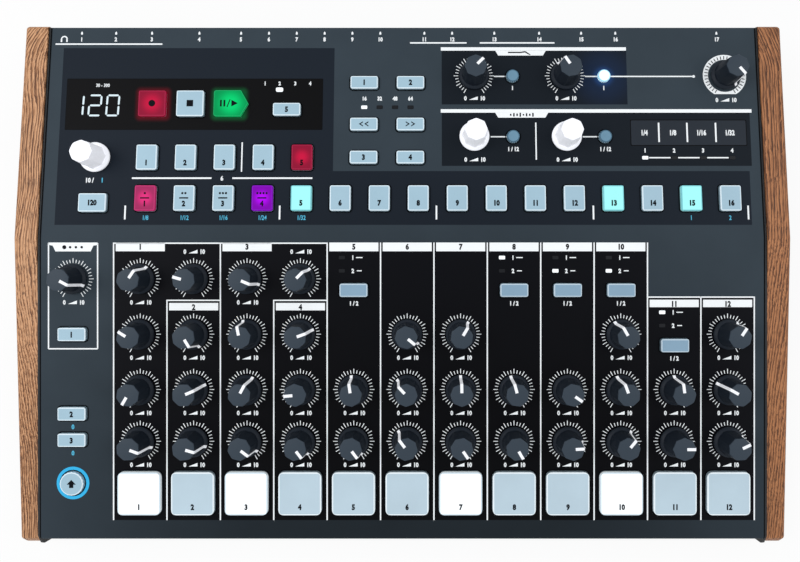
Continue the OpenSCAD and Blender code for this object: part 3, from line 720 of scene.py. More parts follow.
TYPES = (TypeSwitch(4, None), TypeSwitch(7, 0), TypeSwitch(8, 1), TypeSwitch(9, 1),
         TypeSwitch(10, 0, (46.0, 54.2), 66.45, 74.5))


def in_row(row: Place, number: int) -> float:
    """Return the place of one control in a row with a first place and a pitch."""
    return row[0] + row[1] * number


@dataclass
class Section:
    """One flat section of the folded top panel.

    Args:
        matrix: takes x, distance from the fold and height, in metres, to the row frame.
        forward: whether distances run from the fold to the front.
    """

    matrix: Matrix
    forward: bool

    def at(self, x: float, d: float, h: float = 0.0, turn: float = 0.0) -> Matrix:
        """Return the frame of a place on the section, with its y to the back.

        Args:
            x: across the machine, in mm.
            d: distance from the fold, in mm.
            h: height above the panel, in mm.
            turn: clockwise turn seen from above, in degrees.

        Returns:
            The matrix of the place, in metres.
        """
        y = -d if self.forward else d
        return (self.matrix @ Matrix.Translation(Vector((x, y, h)) * MM)
                @ Matrix.Rotation(-math.radians(turn), 4, "Z"))


@dataclass
class Knob:
    """A turning knob as its joint gives it.

    Args:
        body: the body it rides on.
        x: across the machine, in mm.
        d: distance from the fold, in mm.
        angle: clockwise resting angle from twelve o'clock, in degrees.
        front: whether it stands on the front section.
    """

    body: str
    x: float
    d: float
    angle: float
    front: bool

    @property
    def endless(self) -> bool:
        """Return whether it turns without a stop."""
        return self.body.startswith("encoder_")


@dataclass
class Panel:
    """The folded panel: its two sections, and the knobs that stand on them.

    Args:
        front: the front section.
        rear: the rear section.
        knobs: every knob on the panel.
        left: the panel's left edge, in mm.
        right: the panel's right edge, in mm.
    """

    front: Section
    rear: Section
    knobs: list[Knob]
    left: float
    right: float

    @classmethod
    def from_frame(cls, frame: dict) -> Panel:
        """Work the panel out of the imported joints.


        Returns:
            The panel with its sections and knobs.
        """
        joints = {joint["child"]: joint for joint in frame["joints"]
                  if joint["child"].startswith(("knob_", "encoder_"))}
        marks = [joints["knob_kick1_level"], joints["knob_cutoff"]]
        normals = [Vector(mark["axis"]) for mark in marks]
        rows = Matrix([(normal.y, normal.z) for normal in normals])
        sides = Vector([normal.dot(Vector(mark["pos_m"])) for normal, mark in zip(normals, marks)])
        fold = rows.inverted() @ sides
        origin = Vector((0, fold.x, fold.y))
        sections = [
            Section(Matrix.Translation(origin)
                    @ Matrix.Rotation(math.atan2(-normal.y, normal.z), 4, "X"), forward)
            for normal, forward in zip(normals, (True, False))]
        knobs = []
        for body, joint in joints.items():
            place = Vector(joint["pos_m"])
            front = (Vector(joint["axis"]) - normals[0]).length < 0.01
            reach = Vector((0, place.y - origin.y, place.z - origin.z)).length
            angle = joint["range_deg"][0] + HALF_SWEEP if "range_deg" in joint else 0.0
            knobs.append(Knob(body, place.x / MM, reach / MM, angle, front))
        low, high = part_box("top_panel")
        return cls(*sections, knobs, low.x / MM, high.x / MM)

    def knob(self, body: str) -> Knob:
        """Return the knob that rides on a body."""
        return next(knob for knob in self.knobs if knob.body == body)

    def column(self, number: int) -> float:
        """Return the middle line of a channel column, numbered from 0, in mm."""
        first, last = (self.knob(f"knob_{channel}_level").x for channel in ("kick1", "zap"))
        return first + number * (last - first) / (CHANNELS - 1)

    def section(self, front: bool) -> Section:
        """Return the front or the rear section."""
        return self.front if front else self.rear

    def ground(self, front: bool, x0: float, x1: float, d0: float, d1: float,
               color: Color) -> tuple[Place, Place, Color]:
        """Return a printed ground between two columns and two rows, seen from above.

        Args:
            front: whether it is on the front section.
            x0: its left edge, in mm.
            x1: its right edge, in mm.
            d0: its edge nearer to the fold, in mm.
            d1: its other edge, in mm.
            color: its colour.

        Returns:
            Its low corner and high corner in metres, and its colour.
        """
        section = self.section(front)
        ends = sorted(section.at(0, d).translation.y for d in (d0, d1))
        return (x0 * MM, ends[0]), (x1 * MM, ends[1]), color


# ---------------------------------------------------------------- mesh building


SMOOTH_ANGLE = math.radians(35)


def closed(mesh: bmesh.types.BMesh, name: str, materials: Sequence[bpy.types.Material],
           body: str, slot: str, smooth: bool = False, turned: bool = False) -> None:
    """Turn a mesh into a named piece that rides on a body.

    Args:
        mesh: the mesh, freed afterwards.
        name: object name.
        materials: its materials in order of their index.
        body: the body it rides on.
        slot: the record's material slot; not used.
        smooth: whether shallow edges are shaded smooth.
        turned: whether its faces point outward already.
    """
    if not turned:
        bmesh.ops.recalc_face_normals(mesh, faces=mesh.faces)
    if smooth:
        for face in mesh.faces:
            face.smooth = True
        for edge in mesh.edges:
            edge.smooth = edge.is_manifold and edge.calc_face_angle(0.0) < SMOOTH_ANGLE
    data = bpy.data.meshes.new(name)
    mesh.to_mesh(data)
    mesh.free()
    for material in materials:
        data.materials.append(material)
    piece = bpy.data.objects.new(name, data)
    bpy.context.scene.collection.objects.link(piece)
    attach(piece, body)
    LOG.info("%s: %d faces, rides on %s", name, len(data.polygons), body)


def corners(mesh: bmesh.types.BMesh, frame: Matrix, points: Iterable[Place]) -> Verts:
    """Return new vertices at the points of a frame's plane, which are in mm."""
    return [mesh.verts.new(frame @ (Vector((x, y, 0)) * MM)) for x, y in points]


def walls(mesh: bmesh.types.BMesh, low: Verts, high: Verts) -> list[bmesh.types.BMFace]:
    """Return new faces all round between two rings of vertices."""
    return [mesh.faces.new((low[i - 1], low[i], high[i], high[i - 1])) for i in range(len(low))]


def extruded(mesh: bmesh.types.BMesh, faces: Sequence[bmesh.types.BMFace], way: Vector) -> None:
    """Make flat faces a closed shape.

    Args:
        mesh: the mesh they are in.
        faces: the faces.
        way: where the shape goes from them, in the mesh's units.
    """
    grown = bmesh.ops.extrude_face_region(mesh, geom=list(faces), use_keep_orig=True)["geom"]
    moved = [item for item in grown if isinstance(item, bmesh.types.BMVert)]
    bmesh.ops.translate(mesh, verts=moved, vec=way)


def arc(radius: float, start: float, end: float, steps: int) -> list[Place]:
    """Return points on a circle about the origin from one clockwise angle to another."""
    angles = [math.radians(start + (end - start) * step / steps) for step in range(steps + 1)]
    return [(radius * math.sin(angle), radius * math.cos(angle)) for angle in angles]


def rounded(width: float, length: float, radius: float, steps: int = 5) -> list[Place]:
    """Work out a rounded rectangle about the origin.

    Args:
        width: its width.
        length: its length.
        radius: its corner radius.
        steps: how many edges a corner has.

    Returns:
        Its outline.
    """
    points = []
    for corner, (sx, sy) in enumerate(((1, 1), (-1, 1), (-1, -1), (1, -1))):
        for step in range(steps + 1):
            angle = math.radians(90 * (corner + step / steps))
            points.append((sx * (width / 2 - radius) + radius * math.cos(angle),
                           sy * (length / 2 - radius) + radius * math.sin(angle)))
    return points


@dataclass
class Slabs:
    """Thin closed shapes on one section of the panel, gathered in one mesh.

    A digit of the plain face takes up `DIGIT_SHARE` of the size that its curve is given.

    Args:
        section: the section they lie on.
        top: height of their upper face above the panel, in mm.
        base: height of their lower face above the panel, in mm.
        mesh: the mesh they are gathered in, in metres.
    """

    section: Section
    top: float
    base: float = 0.0
    mesh: bmesh.types.BMesh = field(default_factory=bmesh.new)

    DIGIT_SHARE: ClassVar[float] = 0.73

    def bar(self, x: float, d: float, width: float, length: float, turn: float = 0.0,
            away: float = 0.0) -> None:
        """Add a bar.

        Args:
            x: place across the machine.
            d: distance from the fold.
            width: its width.
            length: its length, away from the place.
            turn: clockwise turn in degrees.
            away: distance of its middle from the place.
        """
        size = Vector((width, length, self.top - self.base)) * MM
        middle = Vector((0, away, (self.top + self.base) / 2)) * MM
        bmesh.ops.create_cube(self.mesh, size=1.0, matrix=self.section.at(x, d, 0, turn)
                              @ Matrix.Translation(middle) @ Matrix.Diagonal(size).to_4x4())

    def span(self, x0: float, x1: float, d0: float, d1: float) -> None:
        """Add a bar between two columns and two rows."""
        self.bar((x0 + x1) / 2, (d0 + d1) / 2, abs(x1 - x0), abs(d1 - d0))

    def outline(self, points: Iterable[Place], x: float = 0.0, d: float = 0.0) -> None:
        """Add a flat shape.

        Args:
            points: its outline about the place, with y to the back.
            x: place across the machine.
            d: distance from the fold.
        """
        frame = self.section.at(x, d, self.base)
        face = self.mesh.faces.new(corners(self.mesh, frame, points))
        extruded(self.mesh, [face], frame.to_3x3() @ Vector((0, 0, (self.top - self.base) * MM)))

    def frame(self, inner: Sequence[Place], outer: Sequence[Place], x: float,
              d: float) -> None:
        """Add a frame between two outlines with the same number of points.

        Args:
            inner: the inner outline about the place.
            outer: the outer one.
            x: place across the machine.
            d: distance from the fold.
        """
        low_in, low_out, high_in, high_out = (
            corners(self.mesh, self.section.at(x, d, height), outline)
            for height in (self.base, self.top) for outline in (inner, outer))
        for first, second in ((low_in, low_out), (high_out, high_in), (high_in, low_in),
                              (low_out, high_out)):
            walls(self.mesh, first, second)

    def disc(self, x: float, d: float, radius: float, sides: int = 32) -> None:
        """Add a round shape."""
        self.outline(arc(radius, 0, 360, sides)[1:], x, d)

    def band(self, x: float, d: float, inner: float, outer: float, start: float,
             end: float) -> None:
        """Add part of a ring, from one clockwise angle to another."""
        steps = max(6, int(abs(end - start) / 5))
        self.outline(arc(outer, start, end, steps) + arc(inner, end, start, steps), x, d)

    def ring(self, x: float, d: float, inner: float, outer: float, sides: int = 64) -> None:
        """Add a whole ring.

        Args:
            x: place across the machine.
            d: distance from the fold.
            inner: its inner radius.
            outer: its outer radius.
            sides: how many sides it has.
        """
        frame = self.section.at(x, d)
        profile = [(inner, self.base), (outer, self.base), (outer, self.top), (inner, self.top)]
        verts = [self.mesh.verts.new(frame @ (Vector((0, r, h)) * MM)) for r, h in profile]
        edges = [self.mesh.edges.new((verts[i - 1], verts[i])) for i in range(4)]
        axis = frame.to_3x3() @ Vector((0, 0, 1))
        bmesh.ops.spin(self.mesh, geom=verts + edges, cent=frame.translation, axis=axis,
                       angle=math.tau, steps=sides, use_merge=True)

    def number(self, body: str, x: float, d: float, size: float, bold: float = 0.078,
               squeeze: float = 0.86) -> None:
        """Add a printed number.

        Args:
            body: its digits.
            x: middle of the number across the machine.
            d: distance of its middle from the fold.
            size: height of a digit.
            bold: how much fatter than the plain face it is, as a share of the size.
            squeeze: its width as a share of the plain face's.
        """
        curve = bpy.data.curves.new("number", "FONT")
        curve.body = body
        curve.size = size / self.DIGIT_SHARE
        curve.align_x = "CENTER"
        curve.resolution_u = 2
        curve.offset = bold * size
        holder = bpy.data.objects.new("number", curve)
        bpy.context.scene.collection.objects.link(holder)
        bpy.context.view_layer.update()
        data = bpy.data.meshes.new_from_object(
            holder.evaluated_get(bpy.context.evaluated_depsgraph_get()))
        digits = bmesh.new()
        digits.from_mesh(data)
        bmesh.ops.dissolve_degenerate(digits, dist=0.001, edges=digits.edges[:])
        extruded(digits, digits.faces[:], Vector((0, 0, self.top - self.base)))
        scale = Matrix.Diagonal((squeeze * MM, MM, MM, 1))
        digits.transform(self.section.at(x, d, self.base) @ scale
                         @ Matrix.Translation((0, -size / 2, 0)))
        digits.to_mesh(data)
        digits.free()
        self.mesh.from_mesh(data)
        bpy.data.objects.remove(holder)
        bpy.data.curves.remove(curve)
        bpy.data.meshes.remove(data)

    def done(self, name: str, finish: Surface, body: str = "chassis",
             slot: str = "panel_paint") -> None:
        """Turn the shapes into one piece."""
        closed(self.mesh, name, [finish.build()], body, slot)


# ---------------------------------------------------------------- sub-assemblies


@dataclass
class CadDress:
    """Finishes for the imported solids, with their curved faces shaded smooth.

    Args:
        paint: the painted finish of the top panel.
        panel: the folded panel.
        crease: angle above which an edge stays sharp, in degrees.
        weld: distance under which its triangles' corners are joined.
    """

    paint: PaintedPanel
    panel: Panel
    crease: float = 32.0
    weld: float = 0.002

    def finish_of(self, node: str) -> Surface:
        """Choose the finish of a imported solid.

        Args:
            node: its name.

        Returns:
            The finish.
        """
        named = {
            "top_panel": self.paint, "base_tray": TRAY, "socket_plate": TRAY,
            "left_cheek": LEFT_WOOD, "right_cheek": RIGHT_WOOD, "control_boards": BOARD,
            "rear_sockets": SOCKET, "lenses": WINDOW, "feet": RUBBER, "screws": SCREW,
            "pads": PAD_IDLE, "rear_level_knob": KNOB, "power_rocker": SOCKET}
        if node in named:
            return named[node]
        if node.endswith("_buttons"):
            return CAP
        return ENCODER if node.startswith("encoder_") else self.knob(node)

    def knob(self, node: str) -> KnobFinish:
        """Choose the finish of a panel knob, whose top is painted pale down to its rounded edge as
        a painted highlight.

        Args:
            node: its name.

        Returns:
            The finish for knobs of its section.
        """
        front = self.panel.knob(node).front
        place = self.panel.section(front).at(0, 0)
        return KnobFinish(f"{KNOB.name}_{'front' if front else 'rear'}", KNOB, KNOB_TOP_PAINTED_LIGHT,
                          tuple(place.translation), tuple(place.col[2][:3]),
                          (KNOB_TOPS[front] - KnobPointers.round) * MM)

    def dress(self, nodes: dict[str, bpy.types.Object]) -> None:
        """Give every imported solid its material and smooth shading.

        Args:
            nodes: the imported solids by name.
        """
        for name, solid in nodes.items():
            material = self.finish_of(name).build()
            if not solid.material_slots:
                solid.data.materials.append(material)
            for slot in solid.material_slots:
                slot.material = material
            weld = solid.modifiers.new("weld", "WELD")
            weld.merge_threshold = self.weld * MM
            split = solid.modifiers.new("crease", "EDGE_SPLIT")
            split.split_angle = math.radians(self.crease)
            solid.data.polygons.foreach_set("use_smooth", [True] * len(solid.data.polygons))
            LOG.info("%s: dressed in %s", name, material.name)


@dataclass
class Sheets:
    """The printed layers of one section, one for each colour.

    Args:
        white: the white print.
        black: the black print on top of it.
        blue: the blue print.
    """

    white: Slabs
    black: Slabs
    blue: Slabs

    TOPS: ClassVar[tuple[float, float, float]] = (0.078, 0.14, 0.1)

    @classmethod
    def on(cls, section: Section) -> Sheets:
        """Return empty layers on a section."""
        return cls(*(Slabs(section, top) for top in cls.TOPS))

    def scale_ends(self, x: float, d: float, spread: float = 5.4) -> None:
        """Print the ends of a scale, 0 and 10, with a rising wedge between them.

        Args:
            x: middle line of the scale.
            d: distance of the numbers' middle from the fold.
            spread: distance of the numbers from the middle line.
        """
        self.white.number("0", x - spread, d, 2.7)
        self.white.number("10", x + spread, d, 2.7)
        self.white.outline([(-3.2, -1.1), (2.4, -1.1), (2.4, 1.1)], x, d)

    def done(self, side: str) -> None:
        """Turn the layers into pieces.

        Args:
            side: name of the section.
        """
        for color, slabs, finish in (("white", self.white, INK), ("black", self.black, BLACK_INK),
                                     ("blue", self.blue, BLUE_INK)):
            if slabs.mesh.verts:
                slabs.done(f"{side}_print_{color}", finish)


@dataclass
class DialRings:
    """The printed scale round each knob: short ticks and longer ones.

    Args:
        panel: the folded panel.
        front: the front section's layers.
        rear: the rear section's layers.
        inner: radius of the ticks' inner ends.
        outer: radius of the ticks' outer ends.
        major: radius of the longer ticks' outer ends.
        width: width of a tick.
        step: angle between two ticks, in degrees.
        long_step: angle between two longer ones.
        label: distance of the scale's end numbers below the knob.
        apart: that distance for the knobs that have another one, less than 0 where it is above.
    """

    panel: Panel
    front: Sheets
    rear: Sheets
    inner: float = 9.9
    outer: float = 12.0
    major: float = 12.8
    width: float = 0.46
    step: int = 10
    long_step: int = 30
    label: float = 14.5
    apart: dict[str, float] = field(default_factory=lambda: {
        "knob_kick1_sweep": -16.9, "knob_snare_drum_tone": -16.9, "knob_master_volume": 15.6})

    def draw(self) -> None:
        """Draw the scales of all knobs."""
        for knob in self.panel.knobs:
            sheets = self.front if knob.front else self.rear
            down = self.apart.get(knob.body, self.label)
            if knob.body != "encoder_tempo":
                sheets.scale_ends(knob.x, knob.d + (down if knob.front else -down))
            if knob.endless or knob.body == "knob_master_volume":
                continue
            for angle in range(-HALF_SWEEP, HALF_SWEEP + 1, self.step):
                end = self.major if angle % self.long_step == 0 else self.outer
                sheets.white.bar(knob.x, knob.d, self.width, end - self.inner, angle,
                                 (end + self.inner) / 2)


@dataclass
class FrontPrint:
    """The printed voice columns of the front section.

    Args:
        panel: the folded panel.
        sheets: the section's layers.
        rule: width of the white rules.
        top: distance of the rules' upper ends from the fold.
        bottom: distance of their lower ends from the fold.
        tab_width: width of a channel's white tab.
        tab_length: length of the tab.
        low_cut: how much shorter a tab is in the columns below.
        low_tabs: where the tabs lie in columns whose frame starts lower.
        low_frames: where those frames start, by rule.
        ledge: where the ground of the last two columns starts.
        half: distance of a rule from the middle of the column at its right.
        tab_x: distance of a tab's middle from the rule at its left.
    """

    panel: Panel
    sheets: Sheets
    rule: float = 0.8
    top: float = 2.8
    bottom: float = 174.7
    tab_width: float = 30.4
    tab_length: float = 5.4
    low_cut: float = 0.8
    low_tabs: dict[int, float] = field(
        default_factory=lambda: {1: 40.2, 3: 40.2, 10: 38.2, 11: 38.2})
    low_frames: dict[int, float] = field(
        default_factory=lambda: {1: 38.2, 3: 38.2, 11: 36.2, 12: 36.2})
    ledge: float = 36.2
    half: float = 16.5
    tab_x: float = 16.535

    def edge(self, number: int) -> float:
        """Return the rule at the left of a column."""
        return self.panel.column(number) - self.half

    def grounds(self) -> list[tuple[Place, Place, Color]]:
        """Return the dark grounds of the columns, in metres."""
        return [self.panel.ground(True, self.edge(first), self.edge(last), top, self.bottom,
                                  ZONE_FRONT)
                for first, last, top in ((0, 10, self.top), (10, 12, self.ledge))]

    def rules(self) -> None:
        """Draw the white rules, frames and channel tabs."""
        ink, half = self.sheets.white, self.rule / 2
        for number in range(CHANNELS + 1):
            x = self.edge(number)
            ink.span(x - half, x + half, self.low_frames.get(number, self.top), self.bottom)
        for first, last, d in ((0, 2, self.top), (2, 4, self.top), (1, 2, 38.2), (3, 4, 38.2),
                               (10, 12, self.ledge)):
            ink.span(self.edge(first), self.edge(last), d, d + self.rule)
        for number in range(CHANNELS):
            d = self.low_tabs.get(number, self.top)
            middle = self.edge(number) + self.tab_x
            length = self.tab_length - (self.low_cut if number in self.low_tabs else 0.0)
            ink.span(middle - self.tab_width / 2, middle + self.tab_width / 2, d, d + length)

    def metronome(self, x: float, bottom: float = 68.6, half: float = 15.2) -> None:
        """Draw the frame round the metronome's knob and button, with beat marks in its tab.

        Args:
            x: middle line of the frame.
            bottom: distance of its lower rule from the fold.
            half: its half width.
        """
        white, line = self.sheets.white, self.rule / 2
        for side in (x - half, x + half):
            white.span(side - line, side + line, 3.1, bottom)
        white.span(x - half, x + half, bottom - line, bottom + line)
        slope = [(half, -2.8), (half, -4.3), (12.6, -4.7), (10.9, -8.3)]
        white.outline(slope + [(-px, py) for px, py in reversed(slope)], x)
        for beat, radius in enumerate((1.25, 0.75, 0.75, 0.75)):
            self.sheets.black.disc(x - 5.4 + 3.6 * beat, 5.7, radius, 20)

    def numbers(self) -> None:
        """Print the channel numbers on the tabs and the numbers beside the lamps."""
        white = self.sheets.white
        for number in range(CHANNELS):
            d = self.low_tabs.get(number, self.top) + self.tab_length / 2 - 0.2
            self.sheets.black.number(str(number + 1), self.edge(number) + self.tab_x, d, 3.4, 0.07)
        for switch in TYPES:
            x = self.panel.column(switch.column)
            for mark, d in enumerate(switch.lamps):
                white.number(str(mark + 1), x - 0.6, d, 2.6)
                white.bar(x + 3.4, d, 4.0 - mark, 0.6)
            white.number("1 / 2", x, switch.label, 2.6)

    def build(self) -> None:
        """Print the front section."""
        left = self.panel.knob("knob_metronome_volume").x
        self.rules()
        self.metronome(left)
        self.numbers()
        for d in (116.9, 133.1):
            self.sheets.blue.number("0", left, d, 2.9, 0.07)
        shift = Slabs(self.panel.front, TRIM)
        shift.ring(left, 151.7, 7.8, 10.1)
        shift.done("shift_ring", RING_BLUE)


@dataclass
class RearPrint:
    """The printed sections, rules and socket legends of the rear section.

    Args:
        panel: the folded panel.
        sheets: the section's layers.
        bar: thickness of a section's white bar.
        bars: each bar's ends, its distance from the fold and its tab's ends.
        strokes: ends of the other rules across the machine and from the fold.
        beats: the marks at both ends of every four steps.
        beat: ends of those marks from the fold.
        links: the thin rules that join knobs, buttons and lamps.
        sockets: places of the sockets' numbers.
        groups: the rules over the groups of sockets.
        phones: place of the headphone sign.
        shade: width of the painted shade strips beside the cheeks, where the gap between panel and
            cheek casts its shadow.
    """

    panel: Panel
    sheets: Sheets
    bar: float = 2.2
    shade: float = 0.65
    bars: tuple[tuple[float, ...], ...] = ((24.0, 141.8, 119.9, 58.5, 90.9),
                                           (23.9, 219.9, 79.5, 58.1, 91.8))
    links: tuple[tuple[float, float, float], ...] = (
        (57.6, 65.2, 103.0), (115.4, 123.0, 103.0), (131.2, 184.0, 103.0), (55.2, 65.2, 64.0),
        (113.0, 123.0, 64.0), (154.4, 167.8, 50.6), (172.6, 186.0, 50.6), (190.8, 204.2, 50.6))
    strokes: tuple[tuple[float, ...], ...] = (
        (83.3, 84.1, 49.3, 73.1), (-101.2, -100.4, 41.7, 60.4), (-169.1, -119.4, 37.1, 38.1),
        (-106.4, -56.4, 37.1, 38.1))
    beats: tuple[float, ...] = (-172.5, -76.4, 21.1, 118.7, 215.0)
    beat: Place = (11.6, 20.3)
    sockets: tuple[float, ...] = (
        -204.9, -183.1, -160.2, -130.0, -103.4, -85.6, -67.9, -50.1, -32.4, -14.6, 13.5, 31.2,
        58.1, 86.7, 113.5, 135.3, 199.8)
    groups: tuple[tuple[float, float, float], ...] = (
        (-221.4, -153.4, 124.2), (4.4, 40.4, 125.0), (48.8, 96.4, 125.0))
    phones: Place = (-216.0, 127.4)

    def grounds(self) -> list[tuple[Place, Place, Color]]:
        """Return the darker grounds of the transport, step, effects and filter sections."""
        return [self.panel.ground(False, *edges) for edges in (
            (-216.0, -43.6, 8.2, 121.6, ZONE_STEPS), (-216.0, 217.0, 8.2, 42.1, ZONE_STEPS),
            (24.5, 218.6, 45.4, 79.5, ZONE_DEEP), (24.5, 141.9, 84.8, 119.9, ZONE_DEEP))]

    def edges(self) -> list[tuple[Place, Place, Color]]:
        """Set out the painted shade strips of the panel beside the two cheeks, where the gaps cast
        their shadow, from end to end.

        Returns:
            The corners and the colour of each strip.
        """
        panel = self.panel
        low, high = (section.at(0, 400).translation.y for section in (panel.front, panel.rear))
        return [((x0 * MM, low), (x1 * MM, high), PAINTED_GAP_SHADE.color)
                for x0, x1 in ((panel.left - 5, panel.left + self.shade),
                               (panel.right - self.shade, panel.right + 5))]

    def rules(self) -> None:
        """Draw the two section bars with their tabs, and the other rules."""
        ink = self.sheets.white
        for x0, x1, d, t0, t1 in self.bars:
            ink.span(x0, x1, d, d + self.bar)
            ink.outline([(t0, d + 0.2), (t0 + 2.0, d - 3.2), (t1 - 2.0, d - 3.2), (t1, d + 0.2)])
        for stroke in self.strokes:
            ink.span(*stroke)
        for x in self.beats:
            ink.span(x - 0.5, x + 0.5, *self.beat)
        for x0, x1, d in self.links:
            ink.span(x0, x1, d - 0.4, d + 0.4)
        ink.disc(184.2, 103.0, 0.9, 20)

    def signs(self) -> None:
        """Print a filter's slope and a row of bars on the tabs of the two bars."""
        curve = [(-8.0, 0.6), (0.0, 0.6), (3.0, 1.1), (6.5, -1.3), (5.4, -1.3), (2.8, 0.2),
                 (0.0, -0.2), (-8.0, -0.2)]
        self.sheets.black.outline(curve, 74.7, 118.5)
        for place, height in enumerate((1.2, 2.2, 1.6, 2.6, 1.0, 2.0, 1.4, 2.4)):
            self.sheets.black.bar(68.0 + 2.0 * place, 78.1, 0.9, height)

    def socket_row(self) -> None:
        """Number the sockets along the rear edge."""
        ink = self.sheets.white
        for number, x in enumerate(self.sockets):
            ink.number(str(number + 1), x, 127.4, 2.6)
            ink.outline([(-0.6, -0.9), (0.6, -0.9), (0.6, 0.3), (0, 1.2), (-0.6, 0.3)], x, 131.4)
        for x0, x1, d in self.groups:
            ink.span(x0, x1, d - 0.45, d + 0.45)
        x, d = self.phones
        ink.band(x, d, 1.4, 2.2, -100, 100)
        for side in (-1, 1):
            ink.bar(x + side * 1.75, d - 0.8, 0.95, 2.0)

    def numbers(self) -> None:
        """Print the numbers of the lamps, steps and small buttons."""
        ink, blue = self.sheets.white, self.sheets.blue
        ink.number("6", -112.9, 37.6, 2.9, 0.07)
        for mark in range(4):
            ink.number(str(16 * (mark + 1)), in_row(BAR_LAMPS, mark), 88.7, 2.5)
            ink.number(str(mark + 1), in_row(STRIP_LAMPS, mark), 55.3, 2.6)
        labels = ("1/8", "1/12", "1/16", "1/24", "1/32")
        for number, label in [*enumerate(labels), (14, "1"), (15, "2")]:
            blue.number(label, in_row(STEP_ROW, number), 12.8, 2.9, 0.04, 0.78)
        for x in (69.3, 127.1):
            ink.number("1", x, 95.6, 2.6)
            ink.number("1 / 12", x, 56.2, 2.6)
        rate = self.panel.knob("encoder_tempo")
        ink.number("10 /", rate.x - 3.6, rate.d - 14.2, 2.9, 0.07)
        blue.number("1", rate.x + 4.4, rate.d - 14.2, 2.9, 0.07)

    def master_ring(self, inner: float = 10.5, outer: float = 13.7) -> None:
        """Draw the solid ring of the master volume, cut straight below, with its dark scale.

        Args:
            inner: its inner radius.
            outer: its outer radius.
        """
        knob, ink = self.panel.knob("knob_master_volume"), self.sheets.white
        ink.band(knob.x, knob.d, inner, outer, -HALF_SWEEP, HALF_SWEEP)
        below = 360 - HALF_SWEEP
        ink.outline(arc(inner, HALF_SWEEP, below, 12) + arc(outer, below, HALF_SWEEP, 1),
                    knob.x, knob.d)
        for angle in range(-HALF_SWEEP, HALF_SWEEP + 1, 10):
            self.sheets.black.bar(knob.x, knob.d, 0.5, 2.1, angle, 11.8)

    def build(self) -> None:
        """Print the rear section."""
        self.rules()
        self.signs()
        self.socket_row()
        self.numbers()
        self.master_ring()


@dataclass
class Cap:
    """One button cap, with an upper edge of radius `edge`, in mm.

    Up the edge of a square cap the corners get sharper, as where a chamfered box cuts a rounded
    prism, by `sharpen` times the height from where the edge starts.

    Args:
        x: place across the machine.
        d: distance from the fold.
        width: its width.
        length: its length.
        corner: its corner radius.
        light: the colour it is lit in, if any.
        legend: the number or the sign printed on it.
        drop: distance of the legend below the cap's middle.
        halo: whether its light spreads round it, so that no painted gap shade is drawn round it.
        tip: how much of its width the light does not reach, at the right.
    """

    x: float
    d: float
    width: float
    length: float
    corner: float
    light: Light | None = None
    legend: str = ""
    drop: float = 0.0
    halo: bool = False
    tip: float = 0.0

    edge: ClassVar[float] = 0.5
    sharpen: ClassVar[float] = 2.41

    def outline(self, grow: float = 0.0) -> list[Place]:
        """Work out its outline.

        Args:
            grow: how far it is grown outward.

        Returns:
            The outline about its middle.
        """
        corner = self.corner + grow
        if grow < 0 and 2 * self.corner < self.length - 0.1:
            rise = min(SKIN - grow, self.edge)
            corner = max(0.05, corner - self.sharpen * rise)
        return rounded(self.width + 2 * grow, self.length + 2 * grow, corner)


class PlayCap(Cap):
    """The play button's cap, with a point to the right and a sharp upper edge."""

    edge: ClassVar[float] = 0.05

    def outline(self, grow: float = 0.0) -> list[Place]:
        """Work out its outline.

        Args:
            grow: how far it is grown outward.

        Returns:
            The outline about its middle.
        """
        half, end, r = self.length / 2 + grow, self.width / 2 + grow, self.corner + grow
        shoulder = self.width / 2 - self.length * 0.28 + grow * 0.6
        turn = [math.radians(90 + 18 * step) for step in range(6)]
        corner = [(-end + r + r * math.cos(a), half - r + r * math.sin(a)) for a in turn]
        low = [(px, -py) for px, py in reversed(corner)]
        return corner + low + [(shoulder, -half), (end, 0.0), (shoulder, half)]


